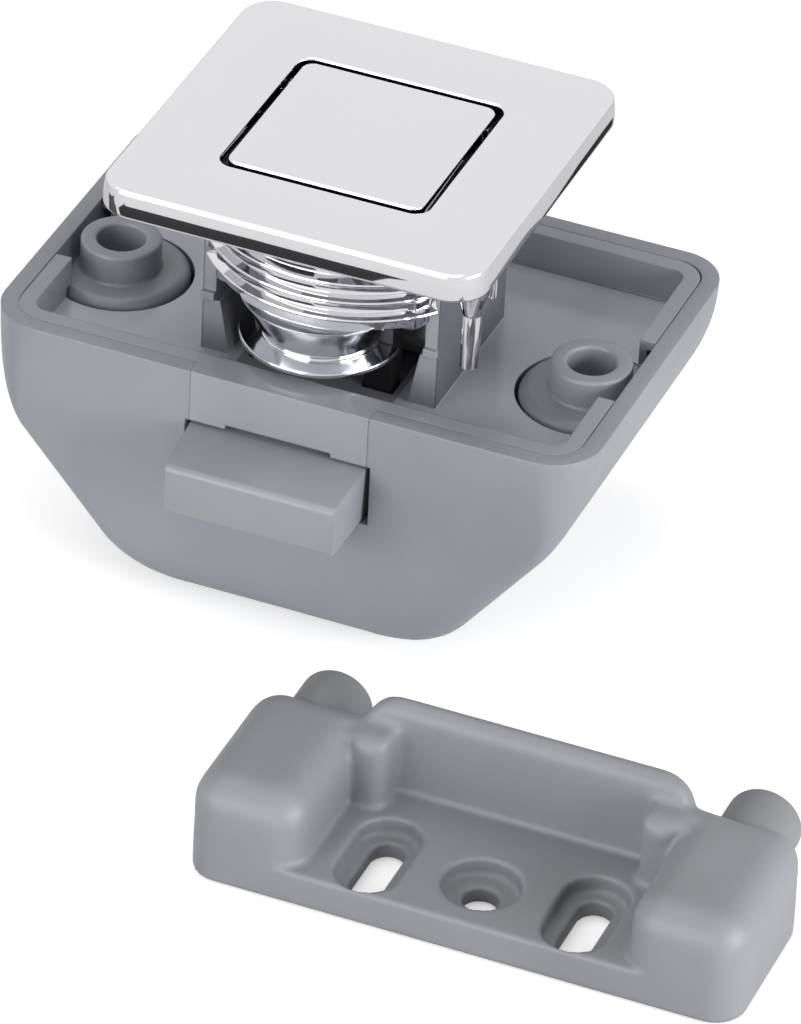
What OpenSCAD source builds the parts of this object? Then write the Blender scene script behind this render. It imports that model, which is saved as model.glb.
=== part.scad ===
// Push button cabinet lock with a square rosette, and the keeper that its bolt enters.
// Sizes are in millimetres. The door lies between the housing's rim (z = 0) and the rosette.
// +Z points out of the door, +Y points away from the bolt's nose, and the origin lies on the
// rim half way between the two door screws, which is also the middle of the button.

/* [Door] */
// Thickness of the door between the housing and the rosette
door_t = 17.3; // [15.5:0.1:19]
// Distance between the two door screws
screw_spacing = 54.2; // [52:0.1:56]
// Radius of the hole for each door screw
screw_hole_r = 2.65; // [2:0.05:2.8]

/* [Housing] */
// Width of the housing at its rim
housing_w = 68; // [66:0.5:76]
// Depth of the housing at its rim, front to back
housing_d = 44.7; // [43:0.1:50]
// How far the middle of the housing lies behind the screw line
housing_y = 1.85; // [1:0.05:2.5]
// Height of the housing behind the door
housing_h = 30.5; // [29:0.5:36]
// Thickness of the housing's wall
wall = 1.9; // [1.6:0.1:2.2]
// Rounding of the upright corners at the rim
rim_r = 5.5; // [5:0.1:7]
// Rounding of the front edge where it is sharpest, half way down the D shape's side
side_round = 1.5; // [1.2:0.1:4]
// Rounding of the front edge along the underside
belly_round = 8; // [6:0.5:10]
// How far that sharpest place lies in from the side, seen from the front
side_in = 4; // [3:0.5:8]
// Radius of each shoulder of the D shape
shoulder_r = 21.7; // [21:0.1:24]
// Radius of the bend from the D shape's side to its flat underside
belly_r = 13; // [11:0.1:19]
// Half the distance between the centres of those two bends
belly_half = 10.3; // [6:0.1:12]

/* [Screw columns] */
// Radius of the tube that reaches the door
tube_r = 4.7; // [4.2:0.1:5.2]
// Radius of the column's foot
foot_r = 7.6; // [6.8:0.1:8]
// Depth of the foot's shoulder below the rim
foot_drop = 3.5; // [3:0.1:4]
// Rounding of the foot's shoulder
foot_round = 1.2; // [0.6:0.1:1.6]
// Length of the hole that grips the door screw's shank
screw_land = 10; // [8:0.5:12]
// Radius of the well for the door screw's head
screw_head_r = 4.6; // [4:0.1:5]

/* [Tray] */
// Depth of the tray's floor below the rim
tray_depth = 4.3; // [3.8:0.1:4.8]
// Thickness of the tray's floor
tray_floor = 1.8; // [1.6:0.1:2.2]
// Thickness of the tray's lip
lip_t = 1.84; // [1.4:0.02:2.2]
// Seam between the tray and what it sits in
tray_gap = 0.1; // [0.05:0.05:0.2]
// Gap round each column's foot
column_gap = 0.4; // [0.2:0.1:0.6]
// Width of the cut in the lip beside each column
notch_w = 12.2; // [10:0.1:14]

/* [Tower] */
// Width over the two cheeks
tower_w = 26.8; // [26.8:0.1:28]
// Length of the cheeks, front to back
tower_d = 19.6; // [18:0.1:20]
// Thickness of a cheek in its upper part
cheek_t = 1.5; // [1.2:0.1:1.5]
// Thickness of a cheek at its foot
cheek_foot_t = 3.2; // [2.4:0.1:3.4]
// Height of the thick part of a cheek above the rim
cheek_step = 2; // [1:0.5:3]

/* [Rosette] */
// Width of the square plate
plate_w = 43; // [42:0.5:48]
// Rounding of the plate's corners
plate_r = 4; // [2:0.5:6]
// Thickness of the plate
plate_t = 3.2; // [2.4:0.1:4]
// Radius of the barrel between its ridges
barrel_r = 15.7; // [15.5:0.1:16]
// Height of a ridge
ridge_h = 0.8; // [0.4:0.1:1]
// Pitch of the ridges
ridge_pitch = 2.2; // [2:0.1:2.6]
// Height of the barrel's lower end above the rim
barrel_end = 6.1; // [5:0.1:6.5]
// Radius of the nose under the barrel, at its foot
nose_r = 6.33; // [5.5:0.05:7]
// Radius of the nose where it leaves the barrel
nose_top_r = 8.9; // [8:0.1:9]
// Radius of the flange at the nose's foot
nose_flange_r = 8.8; // [8:0.1:9.2]
// Place of the nose's middle in front of the button's middle
nose_y = 9.15; // [8.5:0.05:9.5]
// Height of the flange's underside above the rim
nose_end = 1; // [0.5:0.1:2]
// Radius of a pin that stops the plate from turning
stay_pin_r = 1.04; // [0.8:0.02:1.3]
// Length of that pin below the plate
stay_pin_l = 10.6; // [8:0.1:12]
// Distance from the plate's side edge to a pin's middle
stay_pin_in = 2.2; // [2.1:0.1:3.5]
// Distance from the plate's front or back edge to a pin's middle
stay_pin_back = 5.3; // [4:0.1:6.5]

/* [Button] */
// Width of the square button
button_w = 22.4; // [22:0.1:22.8]
// Rounding of the button's upright edges
button_r = 1.8; // [1:0.1:2.5]
// Gap between the button and the plate
button_gap = 0.6; // [0.3:0.05:0.6]
// Height of the button's skirt
skirt_h = 12.5; // [11:0.1:12.5]
// Travel of the button from flush to fully out
button_stroke = 9; // [8:0.1:9]

/* [Bolt] */
// Width of the bolt
bolt_w = 20; // [18:0.1:20]
// Height of the bolt's nose at its tip
bolt_h = 6; // [5:0.1:6.2]
// Depth of the bolt's underside below the rim
bolt_low = 13.2; // [12.6:0.1:13.6]
// How far the nose stands out of the housing
bolt_throw = 7.5; // [6:0.1:8]
// Travel of the bolt from thrown to drawn back
bolt_stroke = 8; // [7:0.1:8]
// Rounding of the nose's edges
bolt_round = 0.8; // [0.4:0.1:1]
// Radius of the pin that the ramps drive
drive_pin_r = 1.2; // [1:0.05:1.3]

/* [Keeper] */
// Length of the keeper
keeper_l = 60.2; // [60:0.2:70]
// Depth of the keeper, without its buffers
keeper_d = 20.2; // [18:0.1:22]
// Height of the keeper's end blocks
block_h = 12; // [11:0.5:14]
// Length of an end block
block_l = 12.5; // [11.5:0.1:12.6]
// Rounding of the end blocks
block_r = 3.5; // [2:0.1:3.6]
// Thickness of the keeper's floor
keeper_floor = 4; // [3:0.1:5]
// Height of the wall that the bolt catches on
catch_h = 14.5; // [13.5:0.1:17]
// Thickness of that wall
catch_t = 2.4; // [2:0.1:3]
// Length of that wall's raised part
catch_l = 36; // [35.6:0.1:38]
// Width of the pocket in front of that wall
pocket_w = 27.8; // [26:0.1:28.4]
// Depth of that pocket, front to back
pocket_d = 4.2; // [3:0.1:5]
// Width of the column at each end of that pocket
column_w = 4; // [3.4:0.1:4.6]
// Distance between the two screw slots
slot_spacing = 22.7; // [20:0.1:24]
// Width of a slot where the screw passes
slot_w = 3.6; // [3:0.1:4.2]
// Length of a slot where the screw passes
slot_l = 9.5; // [7:0.1:10]
// Extra width round a slot for the screw's head
slot_ledge = 1.7; // [1.2:0.1:1.8]
// Radius of the middle hole
middle_hole_r = 1.9; // [1.5:0.05:2.2]
// Radius of the middle hole's well
middle_well_r = 4.2; // [3.6:0.1:4.4]
// Depth of the wells in the floor
well_depth = 2; // [1.5:0.1:2.4]
// Radius of a buffer
buffer_r = 4.05; // [3.4:0.05:4.2]
// How far a buffer stands out behind the keeper
buffer_out = 5.5; // [4.5:0.1:7]
// Distance between the buffers
buffer_spacing = 47.3; // [46.4:0.1:48]

/* [Hidden] */
$fn = 64;

case_grey = [0.55, 0.56, 0.59];
tray_grey = [0.52, 0.53, 0.56];
black = [0.12, 0.12, 0.13];
chrome = [0.88, 0.88, 0.89];
steel = [0.62, 0.63, 0.65];
rubber_grey = [0.46, 0.46, 0.48];

eps = 0.01;
slide_gap = 0.2;             // running gap between flat sliding faces
screw_gap = 0.05;            // gap between a screw's shank and its hole
front_y = housing_y - housing_d / 2;
inner_front_y = front_y + wall;
inner_back_y = housing_y + housing_d / 2 - wall;
column_x = screw_spacing / 2;
bolt_slot_w = bolt_w + 2 * slide_gap;

floor_top = -tray_depth;
floor_low = -tray_depth - tray_floor;
tray_w = housing_w - 2 * (wall + tray_gap);
tray_d = housing_d - 2 * (wall + tray_gap);
tray_r = rim_r - wall - tray_gap;
tray_foot_in = 1;            // how much narrower the tray is where the housing curves in
tray_rim_h = 1.2;            // height of the tray's full-width band below the rim
back_round = 5.2;            // rounding of the D shape's back edge
lip_front_y = inner_front_y + tray_gap + lip_t;
notch_from_x = housing_w / 2 - wall - tray_gap - lip_t - 1;

tower_top = door_t - 1.7;    // the cheeks end just under the plate
cheek_out = tower_w / 2;
cheek_in = cheek_out - cheek_t;
plate_top = door_t + plate_t;
stay_pin_x = plate_w / 2 - stay_pin_in;
stay_pin_y = plate_w / 2 - stay_pin_back;
hole_w = button_w + 2 * button_gap;
hole_r = button_r + button_gap / 2;

skirt_low = plate_top - skirt_h;
cap_wall = 1.2;
cap_top_t = 2;
core_gap = 0.2;
core_w = button_w - 2 * (cap_wall + core_gap);
core_top = plate_top - cap_top_t;
core_low = skirt_low + 1.5;
cap_boss_r = 2.4;
cap_boss_l = 2.9;
spring_bore_r = 4.3;
spring_top = core_top - 4.7;
button_screw_r = 1.1;

bolt_top = floor_low - 0.4;              // top of the bolt where it enters the housing
bolt_tip_y = front_y - bolt_throw;
bolt_rear_y = 6;
bolt_rail_t = 1.4;
drive_pin_y = -4;
drive_pin_z = -10;
ramp_gap = 0.05;
window_rear_y = drive_pin_y + drive_pin_r + 1.2;
window_front_y = front_y + 2.9;

leg_in = 5;
leg_out = 8;
leg_front_y = -9;
leg_low = drive_pin_z - button_stroke - drive_pin_r - 1.6;
stroke_length = sqrt(bolt_stroke * bolt_stroke + button_stroke * button_stroke);
ramp_dir = [bolt_stroke, -button_stroke] / stroke_length;
ramp_normal = [button_stroke, bolt_stroke] / stroke_length;
ramp_start = [drive_pin_y, drive_pin_z] - (drive_pin_r + ramp_gap) * ramp_normal;
ramp_top = ramp_start - 2 * ramp_dir;
ramp_low = ramp_start + (stroke_length + 1.4) * ramp_dir;
leg_gap = 0.3;

channel_in = bolt_w / 2 + slide_gap;
channel_t = 2;
channel_top = -bolt_low - slide_gap;
channel_low = channel_top - 1.8;
channel_rear_t = 1.8;
channel_rear_y = inner_back_y - channel_rear_t - 1.5;
ear_x = 15.2;
ear_y = [-10, 14];
ear_r = 2.8;
pad_low = floor_low - 2.9;
pad_r = 2.6;
ear_t = 2;
small_screw_r = 1;
small_head_r = 2;
small_head_h = 1.3;
channel_screw_grip = 3.6;
case_screw_grip = 4.8;
leaf_screw_grip = 2.8;
pad_hole_l = 5;
post_hole_l = 6.2;

post_x = 22.5;
post_y = inner_back_y - 7.8;
post_r = 3.2;
post_top = floor_low - 6;
post_land = 4;
shelf_r = 9.2;
shelf_h = 3;

heart_front_y = 7.4;
heart_back_y = 9.6;
heart_depth = 1.4;
heart_half = 4.5;
heart_low = floor_top + 0.5;
heart_points = [[0, -0.8], [1.4, 0.5], [2, -0.5], [0, -5.6], [-2, -0.5], [-1.4, 0.5]];
latch_tip_z = 6.05;
wire_r = 0.5;
wire_y = heart_back_y + wire_r + 0.2;
wire_tip_y = heart_back_y - heart_depth + 0.25;
leaf_t = 0.3;
leaf_y = wire_y + wire_r + 0.05;
leaf_half = 1.6;
leaf_screw_y = inner_back_y - 5.7;
leaf_boss_r = 2;
leaf_boss_low = floor_low - 3.2;

spring_wire_r = 0.35;
spring_mean_r = 3.4;
spring_turns = 7;
post_spring_r = 2.4;
post_spring_h = 5;
bolt_spring_x = 5.4;
bolt_spring_wire_r = 0.25;
bolt_spring_mean_r = 2.05;
bolt_spring_turns = 11;
bolt_pocket_r = 2.6;
bolt_pocket_depth = 4.5;
spigot_r = 1.5;
spigot_l = 3;

keeper_x = 38.6;
keeper_front_y = -63.2;
keeper_y = keeper_front_y + keeper_d / 2;
keeper_z = -housing_h;
slot_from_front = 6.8;
buffer_z = 7.1;
buffer_seat = 4;
buffer_seam = 0.05;
buffer_round = 0.7;
catch_end_r = 4;
column_round = 1.5;
column_link_d = 1.5;         // how far the link from a column to its end block stands proud

// Flat shape with true arcs at its corners
module rounded_rect(w, d, r) {
    square([w - 2 * r, d], center = true);
    square([w, d - 2 * r], center = true);
    for (x = [-1, 1], y = [-1, 1])
        translate([x * (w / 2 - r), y * (d / 2 - r)])
            circle(r);
}

// Side view of the D shape on its +X side: [x, z, slope of the surface below level]
function d_profile(top) = concat(
    [[housing_w / 2, top, 0]],
    [for (slope = [0:6:42])
        [housing_w / 2 - shoulder_r + shoulder_r * cos(slope), -shoulder_r * sin(slope), slope]],
    [for (slope = [36:6:90])
        [belly_half + belly_r * cos(slope), belly_r - housing_h - belly_r * sin(slope), slope]]
);

// Rounding of the D shape's front edge at a distance from its middle
function front_round(x) =
    let (sharp_x = housing_w / 2 - side_in,
         below = max(0, 1 - pow(x / sharp_x, 2)),
         above = max(0, (x - sharp_x) / side_in))
    side_round + (belly_round - side_round) * below + (rim_r - side_round) * above;

// Points of one rounded end of the D shape (end is -1 in front, 1 behind), drawn in by an inset
function d_end(inset, top, end) = [
    for (p = d_profile(top), side = [-1, 1], turn = [0:15:90])
        let (round_r = max(end < 0 ? front_round(p[0]) : back_round, inset + 0.3),
             centre_x = p[0] - round_r * cos(p[2]),
             centre_z = p[1] + round_r * sin(p[2]),
             out = (round_r - inset) * cos(turn))
        [side * (centre_x + out * cos(p[2])),
         housing_y + end * (housing_d / 2 - round_r + (round_r - inset) * sin(turn)),
         centre_z - out * sin(p[2])]
];

// Body of the housing, drawn in by an inset and cut off at a height
module d_form(inset, top) {
    points = concat(d_end(inset, top, -1), d_end(inset, top, 1));
    hull()
        polyhedron(points, [for (i = [0:3:len(points) - 3]) [i, i + 1, i + 2]]);
}

module screw_column() {
    translate([0, 0, -housing_h]) {
        cylinder(r = tube_r, h = housing_h);
        cylinder(r = foot_r - foot_round, h = housing_h - foot_drop);
        cylinder(r = foot_r, h = housing_h - foot_drop - foot_round);
        translate([0, 0, housing_h - foot_drop - foot_round])
            rotate_extrude()
                translate([foot_r - foot_round, 0])
                    circle(foot_round);
    }
    translate([0, 0, floor_low - shelf_h])
        cylinder(r = shelf_r, h = shelf_h);
}

module housing() {
    color(case_grey)
        difference() {
            union() {
                difference() {
                    d_form(0, 0);
                    d_form(wall, 1);
                }
                intersection() {
                    d_form(0, 0);
                    for (side = [-1, 1]) {
                        translate([side * column_x, 0, 0])
                            screw_column();
                        translate([side * post_x, post_y, -housing_h])
                            cylinder(r = post_r, h = housing_h + post_top);
                    }
                }
            }
            for (side = [-1, 1]) {
                translate([side * column_x, 0, -housing_h])
                    cylinder(r = screw_hole_r, h = housing_h + 1);
                translate([side * column_x, 0, -housing_h - 1])
                    cylinder(r = screw_head_r, h = housing_h + 1 - screw_land);
                translate([side * post_x, post_y, -housing_h])
                    cylinder(r = small_screw_r + screw_gap, h = housing_h);
                translate([side * post_x, post_y, -housing_h - 1])
                    cylinder(r = small_head_r + 0.3, h = housing_h + 1 + post_top - post_land);
            }
            translate([-bolt_slot_w / 2, front_y - 1, -bolt_low - slide_gap])
                cube([bolt_slot_w, wall + 2, bolt_low + slide_gap + 1]);
        }
}

// One cheek of the tower, on the +X side
module cheek() {
    translate([0, tower_d / 2, 0])
        rotate([90, 0, 0])
            linear_extrude(tower_d)
                polygon([
                    [cheek_out - cheek_foot_t, floor_top - eps],
                    [cheek_out, floor_top - eps],
                    [cheek_out, tower_top],
                    [cheek_in, tower_top],
                    [cheek_in, cheek_step],
                    [cheek_in - 0.5, cheek_step],
                ]);
    translate([cheek_in, -tower_d / 2 - 0.6, cheek_step + 0.2])
        cube([cheek_t, 0.6 + eps, 1]);
}

// Tab of the tray that closes the housing's slot above the bolt
module slot_tab() {
    relief_w = 0.6 * bolt_w;
    relief_h = 0.5;
    difference() {
        translate([-bolt_slot_w / 2 + tray_gap, front_y, floor_low])
            cube([bolt_slot_w - 2 * tray_gap, lip_front_y - front_y, -floor_low]);
        translate([-relief_w / 2, front_y - 1, floor_low - 1])
            cube([relief_w, wall + 1 - tray_gap, relief_h + 1]);
    }
}

// Block with the tray's outline, drawn in by an inset, from one height to another
module tray_block(inset, low, high) {
    translate([0, housing_y, low])
        linear_extrude(high - low)
            rounded_rect(tray_w - 2 * inset, tray_d - 2 * inset, tray_r - inset);
}

module inner_tray() {
    pit_w = tower_w - 2 * cheek_foot_t;
    leg_w = leg_out - leg_in + 2 * leg_gap;
    color(tray_grey)
        difference() {
            union() {
                difference() {
                    union() {
                        tray_block(tray_foot_in, floor_low, -eps);
                        tray_block(0, -tray_rim_h, 0);
                    }
                    tray_block(lip_t, floor_top, 1);
                }
                slot_tab();
                cheek();
                mirror([1, 0, 0])
                    cheek();
                translate([0, 0, floor_top - eps])
                    cylinder(r = post_spring_r, h = post_spring_h);
                for (side = [-1, 1]) {
                    for (y = ear_y)
                        translate([side * ear_x, y, pad_low])
                            cylinder(r = pad_r, h = floor_low - pad_low + eps);
                    translate([side * post_x, post_y, post_top])
                        cylinder(r = post_r, h = floor_low - post_top + eps);
                }
                translate([0, leaf_screw_y, leaf_boss_low])
                    cylinder(r = leaf_boss_r, h = floor_low - leaf_boss_low + eps);
            }
            for (side = [-1, 1]) {
                translate([side * column_x, 0, floor_low - 1])
                    cylinder(r = foot_r + column_gap, h = 1 - floor_low - foot_drop + 0.3);
                translate([side > 0 ? notch_from_x : -housing_w, -notch_w / 2, floor_top])
                    cube([housing_w - notch_from_x, notch_w, tray_depth + 1]);
                for (y = ear_y)
                    translate([side * ear_x, y, pad_low - 1])
                        cylinder(r = small_screw_r + screw_gap, h = pad_hole_l);
                translate([side * post_x, post_y, post_top - 1])
                    cylinder(r = small_screw_r + screw_gap, h = post_hole_l);
                translate([side * (leg_in + leg_out) / 2, 0, 0])
                    translate([-leg_w / 2, leg_front_y - slide_gap, floor_low - 1])
                        cube([leg_w, ramp_low[0] - leg_front_y - 2, tray_floor + 2]);
            }
            translate([-pit_w / 2, lip_front_y, floor_low - 1])
                cube([pit_w, leg_front_y - 1.8 - lip_front_y, tray_floor + 2]);
            translate([0, wire_y, floor_low - 1])
                cylinder(r = wire_r + screw_gap, h = tray_floor + 2);
            translate([0, leaf_screw_y, leaf_boss_low - 1])
                cylinder(r = small_screw_r + screw_gap, h = floor_top - leaf_boss_low + 2);
        }
}

// Channel under the tray that guides the bolt and closes its way
module bolt_channel() {
    length = channel_rear_y + channel_rear_t - inner_front_y - 0.3;
    ear_top = pad_low;
    color(black)
        difference() {
            union() {
                translate([-channel_in - channel_t, inner_front_y + 0.3, channel_low])
                    cube([2 * (channel_in + channel_t), length, floor_low - channel_low]);
                for (side = [-1, 1], y = ear_y) {
                    translate([side * ear_x, y, ear_top - ear_t])
                        cylinder(r = ear_r, h = ear_t);
                    translate([side > 0 ? channel_in + 1 : -ear_x, y - ear_r, ear_top - ear_t])
                        cube([ear_x - channel_in - 1, 2 * ear_r, ear_t]);
                }
            }
            translate([-channel_in, inner_front_y - 1, channel_top])
                cube([2 * channel_in, channel_rear_y - inner_front_y + 1, floor_low - channel_top + 1]);
            for (side = [-1, 1])
                translate([side * (leg_in + leg_out) / 2, 0, channel_low - 1])
                    translate([-(leg_out - leg_in) / 2 - leg_gap, leg_front_y - slide_gap, 0])
                        cube([leg_out - leg_in + 2 * leg_gap, ramp_low[0] - leg_front_y + 1, 4]);
            for (side = [-1, 1], y = ear_y) {
                translate([side * ear_x, y, ear_top - ear_t - 1])
                    cylinder(r = small_screw_r + screw_gap, h = ear_t + 2);
                translate([side * ear_x, y, ear_top])
                    cylinder(r = pad_r + 0.2, h = floor_low - ear_top + 1);
            }
        }
    for (side = [-1, 1])
        color(black)
            translate([side * bolt_spring_x, channel_rear_y + eps, drive_pin_z])
                rotate([90, 0, 0])
                    cylinder(r = spigot_r, h = spigot_l);
}

// Screw with a flat head, head downwards, its shank starting at z = 0
module small_screw(shank_l) {
    translate([0, 0, -small_head_h])
        difference() {
            cylinder(r = small_head_r, h = small_head_h);
            for (turn = [0, 90])
                rotate([0, 0, turn])
                    translate([-1.1, -0.25, -eps])
                        cube([2.2, 0.5, 0.6]);
        }
    translate([0, 0, -eps])
        cylinder(r = small_screw_r, h = shank_l + eps);
}

module channel_screws() {
    color(steel)
        for (side = [-1, 1], y = ear_y)
            translate([side * ear_x, y, pad_low - ear_t])
                small_screw(ear_t + channel_screw_grip);
}

module case_screws() {
    color(steel)
        for (side = [-1, 1])
            translate([side * post_x, post_y, post_top - post_land])
                small_screw(post_land + case_screw_grip);
}

// One ring of the barrel, as two cones about its crest
module ridge() {
    flank = 0.5;
    crest = 0.24;
    translate([0, 0, -crest / 2 - flank])
        cylinder(r1 = barrel_r, r2 = barrel_r + ridge_h, h = flank);
    translate([0, 0, -crest / 2])
        cylinder(r = barrel_r + ridge_h, h = crest);
    translate([0, 0, crest / 2])
        cylinder(r1 = barrel_r + ridge_h, r2 = barrel_r, h = flank);
}

// Half-round nose that hangs from the front of the barrel
module nose() {
    flange_t = 0.65;
    rise = barrel_end + 0.5 - nose_end - flange_t;
    difference() {
        translate([0, -nose_y, nose_end]) {
            cylinder(r = nose_flange_r, h = flange_t);
            translate([0, 0, flange_t - eps])
                cylinder(r1 = nose_r, r2 = nose_top_r, h = rise);
        }
        translate([-2 * nose_top_r, leg_front_y - 0.3, 0])
            cube([4 * nose_top_r, 4 * nose_top_r, barrel_end + 2]);
    }
}

module stay_pin() {
    root_r = 2.1;
    root_l = 3.9;
    translate([0, 0, door_t - stay_pin_l])
        cylinder(r = stay_pin_r, h = stay_pin_l);
    translate([0, 0, door_t - root_l])
        cylinder(r1 = stay_pin_r, r2 = root_r, h = root_l + eps);
}

module rosette() {
    first_ridge = barrel_end + 1.7;
    ridge_count = 3;
    collar_low = first_ridge + ridge_count * ridge_pitch - 0.3;
    collar_r = norm([tower_w, tower_d]) / 2 + 0.15;
    band = tower_d + 0.2;
    lug = [0.9, 1.7, 4.4];
    color(chrome)
        difference() {
            union() {
                translate([0, 0, door_t])
                    linear_extrude(plate_t)
                        rounded_rect(plate_w, plate_w, plate_r);
                translate([0, 0, barrel_end])
                    cylinder(r = barrel_r, h = door_t - barrel_end + eps);
                for (turn = [0:ridge_count - 1])
                    translate([0, 0, first_ridge + turn * ridge_pitch])
                        ridge();
                translate([0, 0, collar_low])
                    cylinder(r = collar_r, h = door_t - collar_low + eps);
                nose();
                for (side = [-1, 1])
                    translate([side * stay_pin_x, -side * stay_pin_y, 0])
                        stay_pin();
                translate([stay_pin_x + 0.3, -stay_pin_y + 2.4, door_t - lug[2]])
                    cube([lug[0], lug[1], lug[2] + eps]);
            }
            translate([0, 0, barrel_end])
                linear_extrude(plate_top)
                    rounded_rect(hole_w, hole_w, hole_r);
            translate([-plate_w / 2, -band / 2, barrel_end - eps])
                cube([plate_w, band, tower_top + 0.3 - barrel_end]);
        }
}

module button_cap() {
    color(chrome) {
        difference() {
            translate([0, 0, skirt_low])
                linear_extrude(skirt_h)
                    rounded_rect(button_w, button_w, button_r);
            translate([0, 0, skirt_low - 1])
                linear_extrude(skirt_h - cap_top_t + 1)
                    rounded_rect(button_w - 2 * cap_wall, button_w - 2 * cap_wall, button_r - cap_wall);
        }
        translate([0, 0, core_top - cap_boss_l])
            difference() {
                cylinder(r = cap_boss_r, h = cap_boss_l + eps);
                translate([0, 0, -1])
                    cylinder(r = button_screw_r + screw_gap, h = cap_boss_l);
            }
    }
}

// Recess for the latch wire, with the heart that the wire goes round
module heart_recess() {
    lane_half = 3.5;
    low = latch_tip_z - button_stroke - wire_r - 0.15;
    high = latch_tip_z + 1.9;
    translate([0, heart_back_y + 1, 0])
        rotate([90, 0, 0])
            linear_extrude(heart_depth + 1)
                difference() {
                    translate([-lane_half, low])
                        square([2 * lane_half, high - low]);
                    translate([0, latch_tip_z])
                        polygon(heart_points);
                }
}

module leg() {
    translate([-(leg_out - leg_in) / 2, 0, 0])
        rotate([90, 0, 90])
            linear_extrude(leg_out - leg_in)
                polygon([
                    [leg_front_y, core_low + eps], [ramp_top[0], core_low + eps],
                    ramp_top, ramp_low,
                    [ramp_low[0], leg_low], [leg_front_y, leg_low],
                ]);
}

module plunger() {
    color(black)
        difference() {
            union() {
                translate([0, 0, core_low])
                    linear_extrude(core_top - core_low)
                        square(core_w, center = true);
                for (side = [-1, 1])
                    translate([side * (leg_in + leg_out) / 2, 0, 0])
                        leg();
                translate([-heart_half, heart_front_y, heart_low])
                    cube([2 * heart_half, heart_back_y - heart_front_y, core_low - heart_low + eps]);
            }
            translate([0, 0, core_low - 1])
                cylinder(r = spring_bore_r, h = spring_top - core_low + 1);
            translate([0, 0, core_low])
                cylinder(r = button_screw_r + screw_gap, h = core_top - core_low + 1);
            translate([0, 0, core_top - cap_boss_l - 0.1])
                cylinder(r = cap_boss_r + 0.1, h = cap_boss_l + 1);
            heart_recess();
        }
}

module button_screw() {
    head_r = 2.2;
    head_h = 1.4;
    color(steel)
        translate([0, 0, spring_top]) {
            translate([0, 0, -head_h])
                difference() {
                    cylinder(r = head_r, h = head_h);
                    for (turn = [0, 90])
                        rotate([0, 0, turn])
                            translate([-1.2, -0.3, -eps])
                                cube([2.4, 0.6, 0.7]);
                }
            translate([0, 0, -eps])
                cylinder(r = button_screw_r, h = 3.4);
        }
}

// Points of a coil spring about Z: one ring of the wire for each step
function coil_point(i, steps, mean_r, turns, low, high) =
    let (a = 360 * turns * i / steps)
    [mean_r * cos(a), mean_r * sin(a), low + (high - low) * i / steps];

function coil_rings(steps, sides, mean_r, wire_r, turns, low, high) = [
    for (i = [0:steps])
        let (a = 360 * turns * i / steps, p = coil_point(i, steps, mean_r, turns, low, high))
        for (k = [0:sides - 1])
            let (b = 360 * k / sides)
            p + wire_r * [cos(b) * cos(a), cos(b) * sin(a), sin(b)]
];

function tube_faces(steps, sides) = concat(
    [for (i = [0:steps - 1], k = [0:sides - 1])
        let (a = i * sides + k, b = i * sides + (k + 1) % sides)
        [a, a + sides, b]],
    [for (i = [0:steps - 1], k = [0:sides - 1])
        let (a = i * sides + k, b = i * sides + (k + 1) % sides)
        [b, a + sides, b + sides]],
    [for (k = [1:sides - 2]) [0, k, k + 1]],
    [for (k = [1:sides - 2]) [steps * sides, steps * sides + k + 1, steps * sides + k]]
);

module coil_spring(mean_r, wire_r, turns, low, high) {
    rings_per_turn = 12;
    sides = 6;
    steps = turns * rings_per_turn;
    polyhedron(coil_rings(steps, sides, mean_r, wire_r, turns, low + wire_r, high - wire_r),
               tube_faces(steps, sides));
}

module plunger_spring() {
    color(steel)
        coil_spring(spring_mean_r, spring_wire_r, spring_turns, floor_top, spring_top);
}

// Bent wire whose tip rests in the notch of the heart
module latch_wire() {
    color(steel) {
        translate([0, wire_y, floor_low])
            cylinder(r = wire_r, h = latch_tip_z - floor_low);
        translate([0, wire_y, latch_tip_z])
            sphere(wire_r);
        translate([0, wire_y, latch_tip_z])
            rotate([90, 0, 0])
                cylinder(r = wire_r, h = wire_y - wire_tip_y);
    }
}

// Leaf that keeps the latch wire in its recess
module leaf_spring() {
    foot_back_y = leaf_screw_y + small_head_r;
    color(steel)
        difference() {
            union() {
                translate([-leaf_half, leaf_y, floor_top])
                    cube([2 * leaf_half, leaf_t, barrel_end - 0.9 - floor_top]);
                translate([-leaf_half, leaf_y, floor_top])
                    cube([2 * leaf_half, foot_back_y - leaf_y, leaf_t]);
            }
            translate([0, leaf_screw_y, floor_top - 1])
                cylinder(r = small_screw_r + screw_gap, h = 2);
        }
}

module leaf_screw() {
    color(steel)
        translate([0, leaf_screw_y, floor_top + leaf_t])
            mirror([0, 0, 1])
                small_screw(tray_floor + leaf_screw_grip);
}

// Points of a rounded corner, from one angle to another
function arc_points(centre, r, from, to) = [
    for (i = [0:6])
        let (a = from + (to - from) * i / 6)
        centre + r * [cos(a), sin(a)]
];

// Side view of the bolt: level below, its nose falling a little to the tip on top
function bolt_outline() = concat(
    arc_points([bolt_tip_y + bolt_round, bolt_round - bolt_low], bolt_round, 270, 180),
    arc_points([bolt_tip_y + bolt_round, bolt_h - bolt_low - bolt_round], bolt_round, 180, 96),
    [[front_y, bolt_top], [bolt_rear_y, bolt_top], [bolt_rear_y, -bolt_low]]
);

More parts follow.
